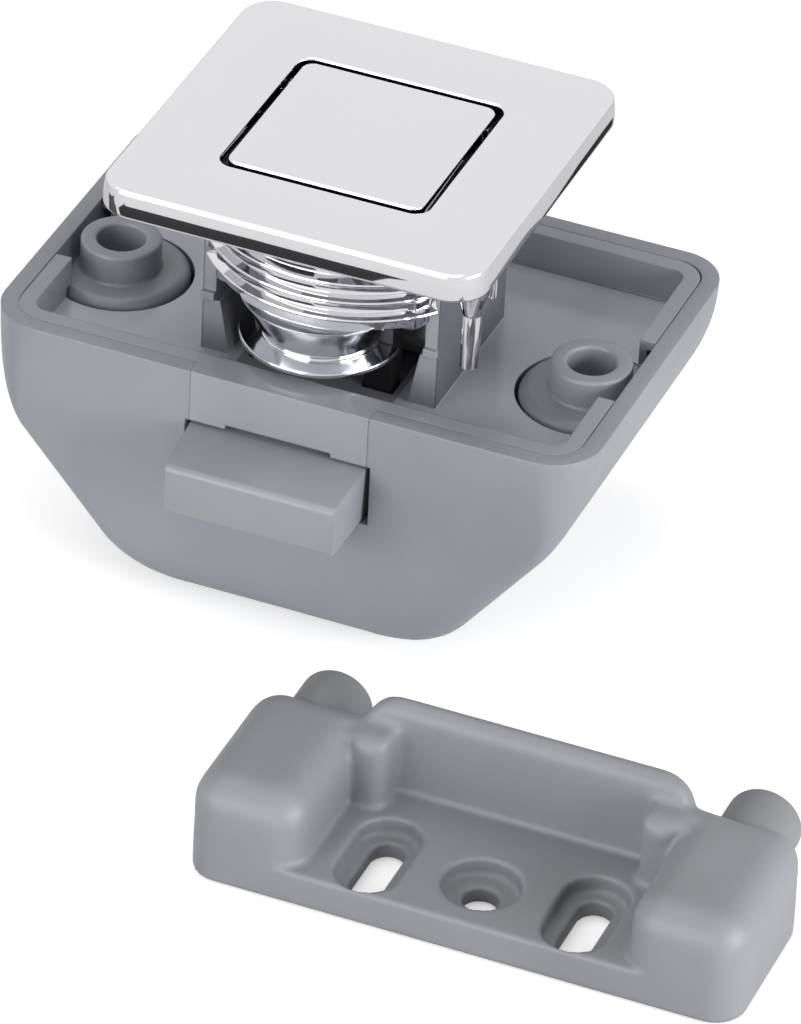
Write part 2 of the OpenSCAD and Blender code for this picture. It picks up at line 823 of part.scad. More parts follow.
module latch_bolt() {
    window_w = bolt_w - 2 * bolt_rail_t;
    color(case_grey)
        difference() {
            translate([-bolt_w / 2, 0, 0])
                rotate([90, 0, 90])
                    linear_extrude(bolt_w)
                        polygon(bolt_outline());
            translate([-window_w / 2, window_front_y, -bolt_low - 1])
                cube([window_w, window_rear_y - window_front_y, bolt_low + bolt_top + 2]);
            translate([0, drive_pin_y, drive_pin_z])
                rotate([0, 90, 0])
                    cylinder(r = drive_pin_r + 0.02, h = 2 * bolt_w, center = true);
            for (side = [-1, 1])
                translate([side * bolt_spring_x, bolt_rear_y + 1, drive_pin_z])
                    rotate([90, 0, 0])
                        cylinder(r = bolt_pocket_r, h = bolt_pocket_depth + 1);
        }
}

module drive_pin() {
    color(steel)
        translate([0, drive_pin_y, drive_pin_z])
            rotate([0, 90, 0])
                cylinder(r = drive_pin_r, h = bolt_w, center = true);
}

module bolt_spring(side) {
    color(steel)
        translate([side * bolt_spring_x, 0, drive_pin_z])
            rotate([-90, 0, 0])
                coil_spring(bolt_spring_mean_r, bolt_spring_wire_r, bolt_spring_turns,
                            bolt_rear_y - bolt_pocket_depth, channel_rear_y);
}

module bolt_spring_left() {
    bolt_spring(-1);
}

module bolt_spring_right() {
    bolt_spring(1);
}

// Slot along Y with round ends
module slot_shape(width, length) {
    square([width, length - width], center = true);
    for (end = [-1, 1])
        translate([0, end * (length - width) / 2])
            circle(width / 2);
}

// End block of the keeper: upright below, softly rounded above
module end_block() {
    near = block_r;
    far = block_l - block_r;
    hull()
        for (x = [near, far], y = [block_r, keeper_d - block_r]) {
            translate([x, y, 0])
                cylinder(r = block_r, h = keeper_floor, $fn = 32);
            translate([x, y, block_h - block_r])
                sphere(block_r, $fn = 32);
        }
}

// Wall that the bolt catches behind, with its top edges and its two ends rounded
module catch_wall() {
    front_r = 0.75 * catch_t;
    back_r = catch_t - front_r;
    half = catch_l / 2;
    intersection() {
        translate([-half, 0, 0])
            rotate([90, 0, 90])
                linear_extrude(catch_l)
                    polygon(concat(
                        [[catch_t, 0], [0, 0]],
                        arc_points([front_r, catch_h - front_r], front_r, 180, 90),
                        arc_points([front_r, catch_h - back_r], back_r, 90, 0)
                    ));
        translate([0, catch_t + 1, 0])
            rotate([90, 0, 0])
                linear_extrude(catch_t + 2)
                    polygon(concat(
                        [[half, 0], [-half, 0]],
                        arc_points([catch_end_r - half, catch_h - catch_end_r], catch_end_r, 180, 90),
                        arc_points([half - catch_end_r, catch_h - catch_end_r], catch_end_r, 90, 0)
                    ));
    }
}

// Column at the +X end of the pocket, with its link to the end block
module pocket_column() {
    reach = keeper_l / 2 - block_l + block_r;
    depth = pocket_d + catch_t;
    intersection() {
        linear_extrude(block_h) {
            translate([pocket_w / 2 + column_w / 2, depth / 2 - pocket_d])
                rounded_rect(column_w, depth, column_round);
            translate([pocket_w / 2 + column_round, -column_link_d])
                square([reach - pocket_w / 2 - column_round, catch_t + column_link_d]);
        }
        translate([pocket_w / 2 - 1, -pocket_d, 0])
            rotate([90, 0, 90])
                linear_extrude(reach - pocket_w / 2 + 2)
                    polygon(concat(
                        [[depth, 0], [0, 0]],
                        arc_points([column_round, block_h - column_round], column_round, 180, 90),
                        arc_points([depth - block_r, block_h - block_r], block_r, 90, 0)
                    ));
    }
}

module strike_plate() {
    slot_y = slot_from_front - keeper_d / 2;
    color(case_grey)
        translate([keeper_x, keeper_y, keeper_z])
            difference() {
                union() {
                    linear_extrude(keeper_floor)
                        rounded_rect(keeper_l, keeper_d, block_r);
                    translate([keeper_l / 2 - block_l, -keeper_d / 2, 0])
                        end_block();
                    mirror([1, 0, 0])
                        translate([keeper_l / 2 - block_l, -keeper_d / 2, 0])
                            end_block();
                    translate([0, keeper_d / 2 - catch_t, 0]) {
                        catch_wall();
                        pocket_column();
                        mirror([1, 0, 0])
                            pocket_column();
                    }
                }
                for (side = [-1, 1]) {
                    translate([side * slot_spacing / 2, slot_y, -1])
                        linear_extrude(keeper_floor + 2)
                            slot_shape(slot_w, slot_l);
                    translate([side * slot_spacing / 2, slot_y, keeper_floor - well_depth])
                        linear_extrude(well_depth + 1)
                            slot_shape(slot_w + 2 * slot_ledge, slot_l + 2 * slot_ledge);
                    translate([side * buffer_spacing / 2, keeper_d / 2 + 1, buffer_z])
                        rotate([90, 0, 0])
                            cylinder(r = buffer_r + buffer_seam, h = buffer_seat + 1);
                }
                translate([0, slot_y, -1])
                    cylinder(r = middle_hole_r, h = keeper_floor + 2);
                translate([0, slot_y, keeper_floor - well_depth])
                    cylinder(r = middle_well_r, h = well_depth + 1);
            }
}

// Soft peg that the closed door rests against
module buffer(side) {
    length = buffer_seat + buffer_out;
    color(rubber_grey)
        translate([keeper_x + side * buffer_spacing / 2, keeper_y + keeper_d / 2 - buffer_seat,
                   keeper_z + buffer_z])
            rotate([-90, 0, 0]) {
                cylinder(r = buffer_r, h = length - buffer_round);
                cylinder(r = buffer_r - buffer_round, h = length);
                translate([0, 0, length - buffer_round])
                    rotate_extrude()
                        translate([buffer_r - buffer_round, 0])
                            circle(buffer_round);
            }
}

module buffer_left() {
    buffer(-1);
}

module buffer_right() {
    buffer(1);
}

housing();
inner_tray();
bolt_channel();
channel_screws();
case_screws();
rosette();
button_cap();
plunger();
button_screw();
plunger_spring();
latch_wire();
leaf_spring();
leaf_screw();
latch_bolt();
drive_pin();
bolt_spring_left();
bolt_spring_right();
strike_plate();
buffer_left();
buffer_right();
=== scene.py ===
# %% [markdown]
# # Push button cabinet lock
# The lock clamps a cabinet door between its grey case and its chrome rosette. Push the square
# button and it pops up, which pulls the bolt back; push it flush and the bolt comes out again. The
# keeper that the bolt enters lies in front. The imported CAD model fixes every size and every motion;
# this file gives each piece its finish, and works out again the pieces whose soft edges and curved
# skins the plain solids can't show.

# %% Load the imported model
import math

import bmesh
import bpy
import numpy as np
from mathutils import Matrix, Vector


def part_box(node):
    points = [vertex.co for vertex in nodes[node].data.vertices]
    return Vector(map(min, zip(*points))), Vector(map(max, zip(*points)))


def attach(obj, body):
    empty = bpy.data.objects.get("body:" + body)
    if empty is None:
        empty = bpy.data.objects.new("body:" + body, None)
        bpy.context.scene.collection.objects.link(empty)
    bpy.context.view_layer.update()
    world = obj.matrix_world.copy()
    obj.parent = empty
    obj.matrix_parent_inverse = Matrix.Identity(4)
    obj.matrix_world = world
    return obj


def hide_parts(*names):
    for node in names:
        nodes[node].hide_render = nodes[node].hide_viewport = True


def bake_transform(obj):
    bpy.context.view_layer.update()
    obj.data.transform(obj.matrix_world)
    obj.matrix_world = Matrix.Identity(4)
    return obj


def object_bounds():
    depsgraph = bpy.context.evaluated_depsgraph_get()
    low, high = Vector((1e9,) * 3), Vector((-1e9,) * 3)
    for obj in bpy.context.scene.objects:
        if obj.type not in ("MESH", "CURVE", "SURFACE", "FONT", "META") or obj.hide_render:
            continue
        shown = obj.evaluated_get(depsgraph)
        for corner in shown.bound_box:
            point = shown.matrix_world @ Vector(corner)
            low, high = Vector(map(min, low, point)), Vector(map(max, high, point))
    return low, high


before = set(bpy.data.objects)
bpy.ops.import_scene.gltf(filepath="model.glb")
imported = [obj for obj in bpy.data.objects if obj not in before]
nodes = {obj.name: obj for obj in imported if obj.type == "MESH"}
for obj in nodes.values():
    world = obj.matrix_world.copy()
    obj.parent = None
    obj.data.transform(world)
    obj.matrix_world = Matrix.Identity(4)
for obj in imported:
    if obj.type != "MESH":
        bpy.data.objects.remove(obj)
cad_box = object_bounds()
MM = 0.001
print("nodes:", ", ".join(sorted(nodes)))

# %% [markdown]
# ## Shader maths
# A finish is easier to read as a sum than as a web of boxes. This class wraps a socket of a node
# tree: an operator on it adds the Math node that does that sum, and `node` adds any other node.

# %% Wrap a socket so that operators add Math nodes
class Value:
    """A number that a shader works out."""

    def __init__(self, tree, socket):
        self.tree, self.socket = tree, socket

    def math(self, operation, *others):
        return node(self.tree, "ShaderNodeMath", {"operation": operation}, self, *others)[0]

    def __add__(self, other):
        return self.math("ADD", other)

    def __mul__(self, other):
        return self.math("MULTIPLY", other)

    def __sub__(self, other):
        return self.math("SUBTRACT", other)

    def __rsub__(self, other):
        return self.math("MULTIPLY", -1.0).math("ADD", other)

    def __abs__(self):
        return self.math("ABSOLUTE")

    __radd__ = __add__
    __rmul__ = __mul__

    def ramp(self, low, high):
        """0 at low, 1 at high, straight in between and level outside."""
        return ((self - low) * (1.0 / (high - low))).math("MAXIMUM", 0.0).math("MINIMUM", 1.0)


def node(tree, kind, settings, *values, **named):
    """Adds a node: settings first, then its sockets in order or by name. Gives its outputs."""
    made = tree.nodes.new(kind)
    for key, value in settings.items():
        setattr(made, key, value)
    sockets = [s for s in made.inputs if s.enabled]
    for socket, value in list(zip(sockets, values)) + [(made.inputs[k], v) for k, v in named.items()]:
        connect(tree, value, socket)
    return [Value(tree, s) for s in made.outputs if s.enabled]


def connect(tree, value, socket):
    """Links a worked-out value to a socket, or writes a plain number or colour there."""
    if isinstance(value, Value):
        tree.links.new(value.socket, socket)
    else:
        socket.default_value = value


# %% [markdown]
# Every finish here is built from the same few things: a mix of two colours, noise that sticks to
# the piece, a Principled shader whose even values stand on its own sockets, and a surface that is
# raised a little. Noise is given in swells to a millimetre, so its scale can be read off a ruler.

# %% Helpers for a finish
def mix_colours(tree, factor, first, second):
    """The first colour at factor 0, the second at 1."""
    return node(tree, "ShaderNodeMix", {"data_type": "RGBA"}, factor, first, second)[0]


def own_place(tree):
    """The place of a point on its own piece, in metres."""
    return node(tree, "ShaderNodeTexCoord", {})[3]


def noise(tree, per_mm, stretch=(1.0, 1.0, 1.0), detail=2.0, roughness=0.5):
    """Noise on the piece's own coordinates, with that many swells to a millimetre."""
    scale = tuple(per_mm * s / MM for s in stretch)
    mapped = node(tree, "ShaderNodeMapping", {}, Vector=own_place(tree), Scale=scale)[0]
    return node(tree, "ShaderNodeTexNoise", {}, Vector=mapped, Scale=1.0, Detail=detail,
                Roughness=roughness)[0]


def start_material(name, **fixed):
    """A Principled material whose even values are written on the shader's own sockets."""
    material = bpy.data.materials.new(name)
    material.use_nodes = True
    tree = material.node_tree
    shader = tree.nodes["Principled BSDF"]
    for key, value in fixed.items():
        shader.inputs[key.replace("_", " ")].default_value = value
    return material, tree, shader.inputs


def raise_surface(tree, sockets, height, strength, depth_mm, edge_mm):
    """Bumps the surface by a height, over edges that look rounded by that radius."""
    soft = node(tree, "ShaderNodeBevel", {"samples": 6}, edge_mm * MM)[0]
    bumped = node(tree, "ShaderNodeBump", {}, Strength=strength, Distance=depth_mm * MM,
                  Height=height, Normal=soft)[0]
    connect(tree, bumped, sockets["Normal"])


# %% [markdown]
# ## Moulded plastic
# The case is satin nylon: an even grey with a very faint cloud in it, a fine spark-eroded grain,
# and edges that catch the light because no mould leaves them sharp. A flat grey would look like
# card, so slow noise moves colour and gloss a little and fine noise breaks up the shine. The keeper
# comes from a coarser mould and is duller, the tray was polished, and the inside is black.

# %% Plastics
CLOUD_PER_MM, GRAIN_PER_MM = 0.05, 2.5
CLOUD_GLOSS, GRAIN_GLOSS = 0.06, 0.05


def shade(colour, factor):
    """A colour made darker or lighter."""
    return tuple(c * factor for c in colour[:3]) + (1.0,)


def plastic(name, colour, roughness, grain_mm, cloud, edge_mm=0.2):
    """Satin plastic: cloud moves colour and roughness slowly, grain breaks up the shine."""
    material, tree, sockets = start_material(name, IOR=1.5)
    slow = noise(tree, CLOUD_PER_MM, detail=3.0)
    fine = noise(tree, GRAIN_PER_MM, detail=3.0, roughness=0.6)
    dark, light = shade(colour, 1 - cloud), shade(colour, 1 + cloud)
    connect(tree, mix_colours(tree, slow.ramp(0.3, 0.7), dark, light), sockets["Base Color"])
    least = roughness - (CLOUD_GLOSS + GRAIN_GLOSS) / 2
    connect(tree, slow * CLOUD_GLOSS + fine * GRAIN_GLOSS + least, sockets["Roughness"])
    raise_surface(tree, sockets, fine, 0.3, grain_mm, edge_mm)
    return material


case_plastic = plastic("case plastic", (0.235, 0.244, 0.27), 0.36, 0.012, 0.06)
bolt_plastic = plastic("bolt plastic", (0.262, 0.267, 0.285), 0.36, 0.012, 0.05, 0.3)
tray_plastic = plastic("tray plastic", (0.262, 0.268, 0.29), 0.17, 0.006, 0.05, 0.25)
keeper_plastic = plastic("keeper plastic", (0.222, 0.226, 0.243), 0.5, 0.02, 0.06, 0.3)
buffer_rubber = plastic("buffer rubber", (0.19, 0.193, 0.205), 0.5, 0.02, 0.08, 0.2)
black_plastic = plastic("black plastic", (0.014, 0.014, 0.016), 0.35, 0.01, 0.1)
print("plastics:", [m.name for m in bpy.data.materials if "plastic" in m.name])

# %% [markdown]
# The tray is polished, and some of its faces differ more than those of the case do, because light
# and shade are painted into their colour: the floor is painted lighter, a painted reflection of the
# white round the lock, and the outer sides of its two cheeks are painted dark, painted shade and a
# painted reflection of the dark pit beside them. Each face is picked out by a box in the tray's own
# coordinates, which holds that face and nothing else.

# %% Painted reflection and shade on the tray
CHEEK_SIDE, CHEEK_END, TRAY_FLOOR = 13.4, 9.85, -4.3
FLOOR_SIDES, FLOOR_ENDS, CHEEK_TOP = (9.0, 31.0), (-20.0, 20.0), 20.0


def between(value, low_mm, high_mm):
    """1 where a length lies between two sizes, 0 elsewhere."""
    return value.math("GREATER_THAN", low_mm * MM) * value.math("LESS_THAN", high_mm * MM)


def paint_light_in_box(material, x_mm, y_mm, z_mm, colour, roughness):
    """Paints light and shade into the faces in a box, as another colour and roughness; same on both
    sides.
    """
    tree = material.node_tree
    sockets = tree.nodes["Principled BSDF"].inputs
    x, y, z = node(tree, "ShaderNodeSeparateXYZ", {}, own_place(tree))
    painted_here = between(abs(x), *x_mm) * between(y, *y_mm) * between(z, *z_mm)
    even, rough = (Value(tree, sockets[name].links[0].from_socket)
                   for name in ("Base Color", "Roughness"))
    connect(tree, mix_colours(tree, painted_here, even, colour), sockets["Base Color"])
    connect(tree, painted_here * roughness + (1.0 - painted_here) * rough, sockets["Roughness"])


# Painted shade and painted reflection: the outer sides of the cheeks are painted dark.
paint_light_in_box(tray_plastic, (CHEEK_SIDE - 0.1, CHEEK_SIDE + 0.1), (-CHEEK_END, CHEEK_END),
         (TRAY_FLOOR + 0.05, CHEEK_TOP), (0.09, 0.094, 0.11, 1.0), 0.1)
# Painted reflection: the floor is painted light, as if it mirrored the white round the lock.
paint_light_in_box(tray_plastic, FLOOR_SIDES, FLOOR_ENDS, (TRAY_FLOOR - 0.05, TRAY_FLOOR + 0.05),
         (0.49, 0.505, 0.55, 1.0), 0.2)
print("tray plastic now has", len(tray_plastic.node_tree.nodes), "nodes")

# %% [markdown]
# ## Chrome and steel
# Bright chrome is a mirror, so it shows its surroundings and not itself. Two things make it look
# plated: the face is never quite flat, so reflections wander, and fingers leave thin smears where
# it is a little rougher. The rosette's nose is plated over a rougher casting and is satin. Screws,
# springs and wire are zinc plated steel, which is duller still; on its upright faces soft dark
# bands are painted into its colour, a painted reflection of dark surroundings.

# %% Metals
def painted_reflection_bands(tree):
    """Painted reflection in wide level bands on upright faces only: 1 where it is painted darkest."""
    streak = noise(tree, 0.16, (0.5, 0.5, 2.2), detail=1.0)
    normal = node(tree, "ShaderNodeNewGeometry", {})[1]
    upright = 1.0 - abs(node(tree, "ShaderNodeSeparateXYZ", {}, normal)[2])
    return streak.ramp(0.47, 0.6) * upright.ramp(0.55, 0.95)


def metal(name, colour, roughness, smear, wave_mm, painted_band=0.0, edge_mm=0.15):
    """Metal with a slow wave, thin smears and, if asked for, painted dark reflection bands on upright
    faces.
    """
    material, tree, sockets = start_material(name, Metallic=1.0, Base_Color=colour)
    slow = noise(tree, 0.045)
    fine = noise(tree, 1.2, detail=4.0, roughness=0.65)
    if painted_band:
        # The painted reflection: the colour goes dark in bands on upright faces.
        painted_banded = mix_colours(tree, painted_reflection_bands(tree) * painted_band, colour, shade(colour, 0.06))
        connect(tree, painted_banded, sockets["Base Color"])
    connect(tree, fine.ramp(0.5, 0.85) * smear + roughness, sockets["Roughness"])
    raise_surface(tree, sockets, slow, 1.0, wave_mm, edge_mm)
    return material


chrome = metal("bright chrome", (0.745, 0.74, 0.765, 1.0), 0.03, 0.04, 0.12)
satin_chrome = metal("satin chrome", (0.58, 0.585, 0.615, 1.0), 0.1, 0.05, 0.05)
# Steel gets painted reflection bands at 0.3 strength.
steel = metal("zinc plated steel", (0.52, 0.53, 0.55, 1.0), 0.25, 0.15, 0.01, 0.3)
print("metals:", ", ".join(m.name for m in (chrome, satin_chrome, steel)))

# %% [markdown]
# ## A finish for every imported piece
# The pieces that are built again below hide their CAD solid. The others, such as the tray with
# its pockets, the screws and the latch wire, are right as they are and only need their finish.

# %% Give every node its finish
FINISH = {
    "housing": case_plastic, "inner_tray": tray_plastic, "bolt_channel": black_plastic,
    "channel_screws": steel, "case_screws": steel, "rosette": chrome, "button_cap": chrome,
    "plunger": black_plastic, "button_screw": steel, "plunger_spring": steel,
    "latch_wire": steel, "leaf_spring": steel, "leaf_screw": steel, "latch_bolt": bolt_plastic,
    "drive_pin": steel, "bolt_spring_left": steel, "bolt_spring_right": steel,
    "strike_plate": keeper_plastic, "buffer_left": buffer_rubber, "buffer_right": buffer_rubber,
}
for name, finish in FINISH.items():
    nodes[name].data.materials.clear()
    nodes[name].data.materials.append(finish)
print("finished", len(FINISH), "nodes")

# %% [markdown]
# ## From a grid of points to a piece
# Every new piece is a surface: a grid of points, each row a ring or an edge of the shape. `mesh_of`
# joins neighbouring points into four-sided faces, closes what wraps round, merges the points that
# meet at a pole, and turns all faces outwards. `place` then ties the piece to its moving body.

# %% Mesh from grids
MERGE, SLIVER = 0.002, 0.0002


def shade_mesh(mesh, sharp):
    """Shades a mesh smooth, apart from edges that turn by more than an angle in degrees."""
    mesh.shade_smooth()
    mesh.set_sharp_from_angle(angle=math.radians(sharp))


def close_mesh(mesh, sharp=35.0):
    """Merges points that meet, turns faces outwards and shades them smooth up to an angle."""
    work = bmesh.new()
    work.from_mesh(mesh)
    bmesh.ops.remove_doubles(work, verts=work.verts, dist=MERGE * MM)
    bmesh.ops.dissolve_degenerate(work, edges=work.edges, dist=SLIVER * MM)
    bmesh.ops.recalc_face_normals(work, faces=work.faces)
    work.to_mesh(mesh)
    work.free()
    shade_mesh(mesh, sharp)
    return mesh


def mesh_of(name, *grids, sharp=35.0):
    """One mesh from grids of points (rows, columns, 3) in mm; each comes with what wraps round."""
    points, faces, first = [], [], 0
    for grid, wrap in grids:
        rows, columns = grid.shape[:2]
        index = np.arange(rows * columns).reshape(rows, columns) + first
        if "rows" in wrap:
            index = np.vstack([index, index[:1]])
        if "columns" in wrap:
            index = np.hstack([index, index[:, :1]])
        quads = [index[:-1, :-1], index[1:, :-1], index[1:, 1:], index[:-1, 1:]]
        faces.append(np.stack(quads, -1).reshape(-1, 4))
        points.append(grid.reshape(-1, 3) * MM)
        first += rows * columns
    mesh = bpy.data.meshes.new(name)
    mesh.from_pydata(np.concatenate(points), [], np.concatenate(faces).tolist())
    return close_mesh(mesh, sharp)


# %% Place a piece
def add_object(name, data):
    """Puts an object with that data in the scene."""
    made = bpy.data.objects.new(name, data)
    bpy.context.scene.collection.objects.link(made)
    return made


def place(mesh, material, body, stands_for):
    """Puts a finished mesh in the scene, on its body if it has one, in the place of a CAD node."""
    piece = add_object(mesh.name, mesh)
    mesh.materials.clear()
    mesh.materials.append(material)
    if body:
        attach(piece, body)
    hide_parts(stands_for)
    print(mesh.name, "has", len(mesh.polygons), "faces and rides on", body or "two bodies")
    return piece


# %% [markdown]
# Most pieces of a lock are turned or square. `arc` draws the roundings of a profile, `lathe` turns
# the profile about an upright axis, and `square_sweep` carries it round a square with round
# corners. So a piece is written down as its section, which is how a drawing office gives it.

# %% Profiles
def arc(centre, radius, start, end, steps=7):
    """Points of a flat arc from one angle in degrees to another."""
    turn = np.radians(np.linspace(start, end, steps))
    return np.stack([centre[0] + radius * np.cos(turn), centre[1] + radius * np.sin(turn)], -1)


def lathe(profile, centre=(0.0, 0.0), steps=64, start=-180.0, end=180.0):
    """Turns a profile of (radius, height) about an upright axis; a part turn is closed there."""
    profile = np.asarray(profile, float)
    turn = np.radians(np.linspace(start, end, steps + 1))
    whole = end - start > 359.0
    if whole:
        turn = turn[:-1]
    radius = np.repeat(profile[:, :1], len(turn), axis=1)
    if not whole:
        turn = np.concatenate([turn[:1], turn, turn[-1:]])
        radius = np.pad(radius, ((0, 0), (1, 1)))
    height = np.repeat(profile[:, 1:], len(turn), axis=1)
    return np.stack([centre[0] + radius * np.sin(turn), centre[1] - radius * np.cos(turn),
                     height], -1), ("columns" if whole else "")


def square_ring(half, corner, steps=10):
    """Rounded square about the upright axis: four quarter circles joined by straight sides."""
    quarter = arc((half - corner, half - corner), corner, 0.0, 90.0, steps)
    sides = [quarter]
    for _ in range(3):
        x, y = sides[-1].T
        sides.append(np.stack([-y, x], -1))
    return np.concatenate(sides)


def square_sweep(profile):
    """Carries a profile of (half width, corner radius, height) round a square."""
    rings = []
    for half, corner, height in profile:
        ring = square_ring(half, corner)
        rings.append(np.c_[ring, np.full(len(ring), height)])
    return np.stack(rings)


# %% [markdown]
# ## Sizes from the model
# Each new piece takes its place from the CAD solid that it stands for, so the two stay together.
# The door is a gap in the model: its inner face is level with the case's rim, its outer face is
# `DOOR` higher, and the two door screws cross it `COLUMN_X` from the middle.

# %% Read the boxes of the solids
def box_mm(name):
    """Lowest and highest corner of a node, in mm."""
    low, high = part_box(name)
    return np.array(low) / MM, np.array(high) / MM


case_low, case_high = box_mm("housing")
plate_low, plate_high = box_mm("rosette")
keeper_low, keeper_high = box_mm("strike_plate")
COLUMN_X, DOOR, TOP = 27.1, 17.3, plate_high[2]
print("case", np.round(case_high - case_low, 2), "rosette", np.round(plate_high - plate_low, 2))

# %% [markdown]
# ## Case
# Seen from the front the case is a D lying on its back: an upright side, a shoulder, a broad bend
# and a flat underside. The front edge is crisp half way down and grows soft below and at the rim,
# where the mould is rounded. A cut and rounded block can't change its rounding along an edge, so
# the skin is a family of rings: one outline, drawn in more and more as it turns into each end face.

# %% Outline of the D
SHOULDER, BEND, BEND_X, DEEP = 21.7, 13.0, 10.3, 30.5


def d_outline(steps=22):
    """Half of the D: shoulder arc, broad bend, flat underside, as (x, z) with the slope there.

    Both arcs meet where one line touches them: the angle of the line between their middles, less
    the arc cosine of the difference of their radii over the distance of their middles.
    """
    shoulder_x = case_high[0] - SHOULDER
    lean = math.degrees(math.atan2(DEEP - BEND, BEND_X - shoulder_x))
    reach = math.hypot(DEEP - BEND, BEND_X - shoulder_x)
    meet = lean - math.degrees(math.acos((SHOULDER - BEND) / reach))
    upper = np.linspace(0.0, meet, steps)
    lower = np.linspace(meet, 90.0, steps)
    a, b = np.radians(upper), np.radians(lower)
    x = np.r_[shoulder_x + SHOULDER * np.cos(a), BEND_X + BEND * np.cos(b), 0.0]
    z = np.r_[-SHOULDER * np.sin(a), BEND - DEEP - BEND * np.sin(b), -DEEP]
    return x, z, np.r_[upper, lower, 90.0]


print("the outline has", len(d_outline()[0]), "points on each side")

# %% Skin of the case
EDGE_LEAST, EDGE_UNDER, EDGE_RIM, EDGE_BACK = 1.2, 6.1, 4.5, 5.2
UNDER_START, UNDER_FADE, RIM_START = 9.0, 22.5, 29.5


def front_rounding(x):
    """Rounding of the front edge: about 7 underneath, falling as half a cosine wave to about 1
    half way down, and growing again with the square of the distance to 5.7 at the rim."""
    away = np.abs(x)
    under = 0.5 + 0.5 * np.cos(np.pi * np.clip((away - UNDER_START) / UNDER_FADE, 0.0, 1.0))
    rim = np.clip((away - RIM_START) / (case_high[0] - RIM_START), 0.0, 1.0) ** 2
    return EDGE_LEAST + EDGE_UNDER * under + EDGE_RIM * rim


def rounded_end(outline, normal, edge, face, way):
    """Rings from the case's side over its edge, and on over the end face to a point.

    A point of the outline moves in along its normal by r(1 - cos t) and towards the end face by
    r sin t, where r is the rounding there. The end face is the last ring drawn together.
    """
    t = np.radians(np.linspace(0.0, 90.0, 10))[:, None]
    inward = edge * (1.0 - np.cos(t))
    depth = face - way * edge * (1.0 - np.sin(t))
    rings = np.stack([outline[0] - normal[0] * inward, depth, outline[1] - normal[1] * inward], -1)
    shrink = np.linspace(1.0, 0.0, 9)[1:]
    drawn = np.stack([shrink, np.ones_like(shrink), shrink], -1)[:, None]
    return np.concatenate([rings, rings[-1] * drawn])


def case_skin():
    """Rings from the middle of the front face, round the D, to the middle of the back face."""
    x, z, slope = d_outline()
    x, z, slope = np.r_[-x, x[-2::-1]], np.r_[z, z[-2::-1]], np.r_[slope, slope[-2::-1]]
    side = np.where(np.arange(len(x)) < len(x) // 2 + 1, -1.0, 1.0)
    normal = side * np.cos(np.radians(slope)), -np.sin(np.radians(slope))
    front = rounded_end((x, z), normal, front_rounding(x), case_low[1], -1.0)
    back = rounded_end((x, z), normal, np.full_like(x, EDGE_BACK), case_high[1], 1.0)
    return np.concatenate([front[::-1], back])


skin = case_skin()
skin_mesh = mesh_of("case_skin", (skin, ""), sharp=40.0)
print("case skin grid", skin.shape[:2])

# %% [markdown]
# The bolt comes out through a slot in the front. The slot's upper part is a little narrower,
# because a tab of the tray closes it from above. The skin is split along the sides of the slot, and
# the faces between them go: on a surface without thickness that is simpler than a Boolean.

# %% Cut the bolt's slot
TAB_HALF, TAB_LOW, SLOT_HALF, SLOT_LOW = 10.13, -6.1, 10.55, -13.4
ABOVE_RIM, SLOT_REACH, SPLIT = 0.1, 5.0, 0.001


def cut_slot(mesh, half, low, high):
    """Splits the skin along a slot's sides and takes out the faces between them."""
    work = bmesh.new()
    work.from_mesh(mesh)
    for point, normal in (((half, 0, 0), (1, 0, 0)), ((-half, 0, 0), (1, 0, 0)),
                          ((0, 0, low), (0, 0, 1)), ((0, 0, high), (0, 0, 1))):
        everything = list(work.verts) + list(work.edges) + list(work.faces)
        bmesh.ops.bisect_plane(work, geom=everything, dist=SPLIT * MM, plane_no=normal,
                               plane_co=[c * MM for c in point])
    inside = []
    for face in work.faces:
        x, y, z = np.array(face.calc_center_median()) / MM
        if abs(x) < half and low < z < high and y < case_low[1] + SLOT_REACH:
            inside.append(face)
    bmesh.ops.delete(work, geom=inside, context="FACES")
    work.to_mesh(mesh)
    work.free()


def outward(mesh):
    """Turns a skin's faces away from the middle of the case."""
    work = bmesh.new()
    work.from_mesh(mesh)
    score = sum(f.normal.dot(f.calc_center_median()) * f.calc_area() for f in work.faces)
    if score < 0:
        bmesh.ops.reverse_faces(work, faces=work.faces)
    work.to_mesh(mesh)
    work.free()


cut_slot(skin_mesh, TAB_HALF, TAB_LOW, ABOVE_RIM)
cut_slot(skin_mesh, SLOT_HALF, SLOT_LOW, TAB_LOW)
outward(skin_mesh)
print("case skin has", len(skin_mesh.polygons), "faces")

# %% [markdown]
# `Solidify` gives the skin its wall and `Bevel` the fine edge at the rim. In between, a well is cut
# for each door screw and each case screw through the curved side. A well is a Boolean difference
# with a plain turned cutter: the one place where cutting is simpler than computing a hole's edge.

# %% Build the shell
SHELL, SHELL_EDGE = 1.9, 0.34
DOOR_WELL, DOOR_WELL_TOP = 4.6, -9.0
CASE_WELL, CASE_WELL_TOP, CASE_WELL_X, CASE_WELL_Y = 2.3, -13.0, 22.5, 14.5
BELOW_CASE = -40.0


def worked(mesh, *steps):
    """Runs modifiers on a mesh and gives the result: each step is a kind and its settings."""
    piece = add_object("work", mesh)
    for kind, settings in steps:
        modifier = piece.modifiers.new(kind, kind)
        for key, value in settings.items():
            setattr(modifier, key, value)
    graph = bpy.context.evaluated_depsgraph_get()
    result = bpy.data.meshes.new_from_object(piece.evaluated_get(graph))
    bpy.data.objects.remove(piece)
    return result


def well(radius, top, x, y, steps):
    """A plain cylinder from below the case up to a height."""
    return lathe([(0, BELOW_CASE), (radius, BELOW_CASE), (radius, top), (0, top)], (x, y), steps)


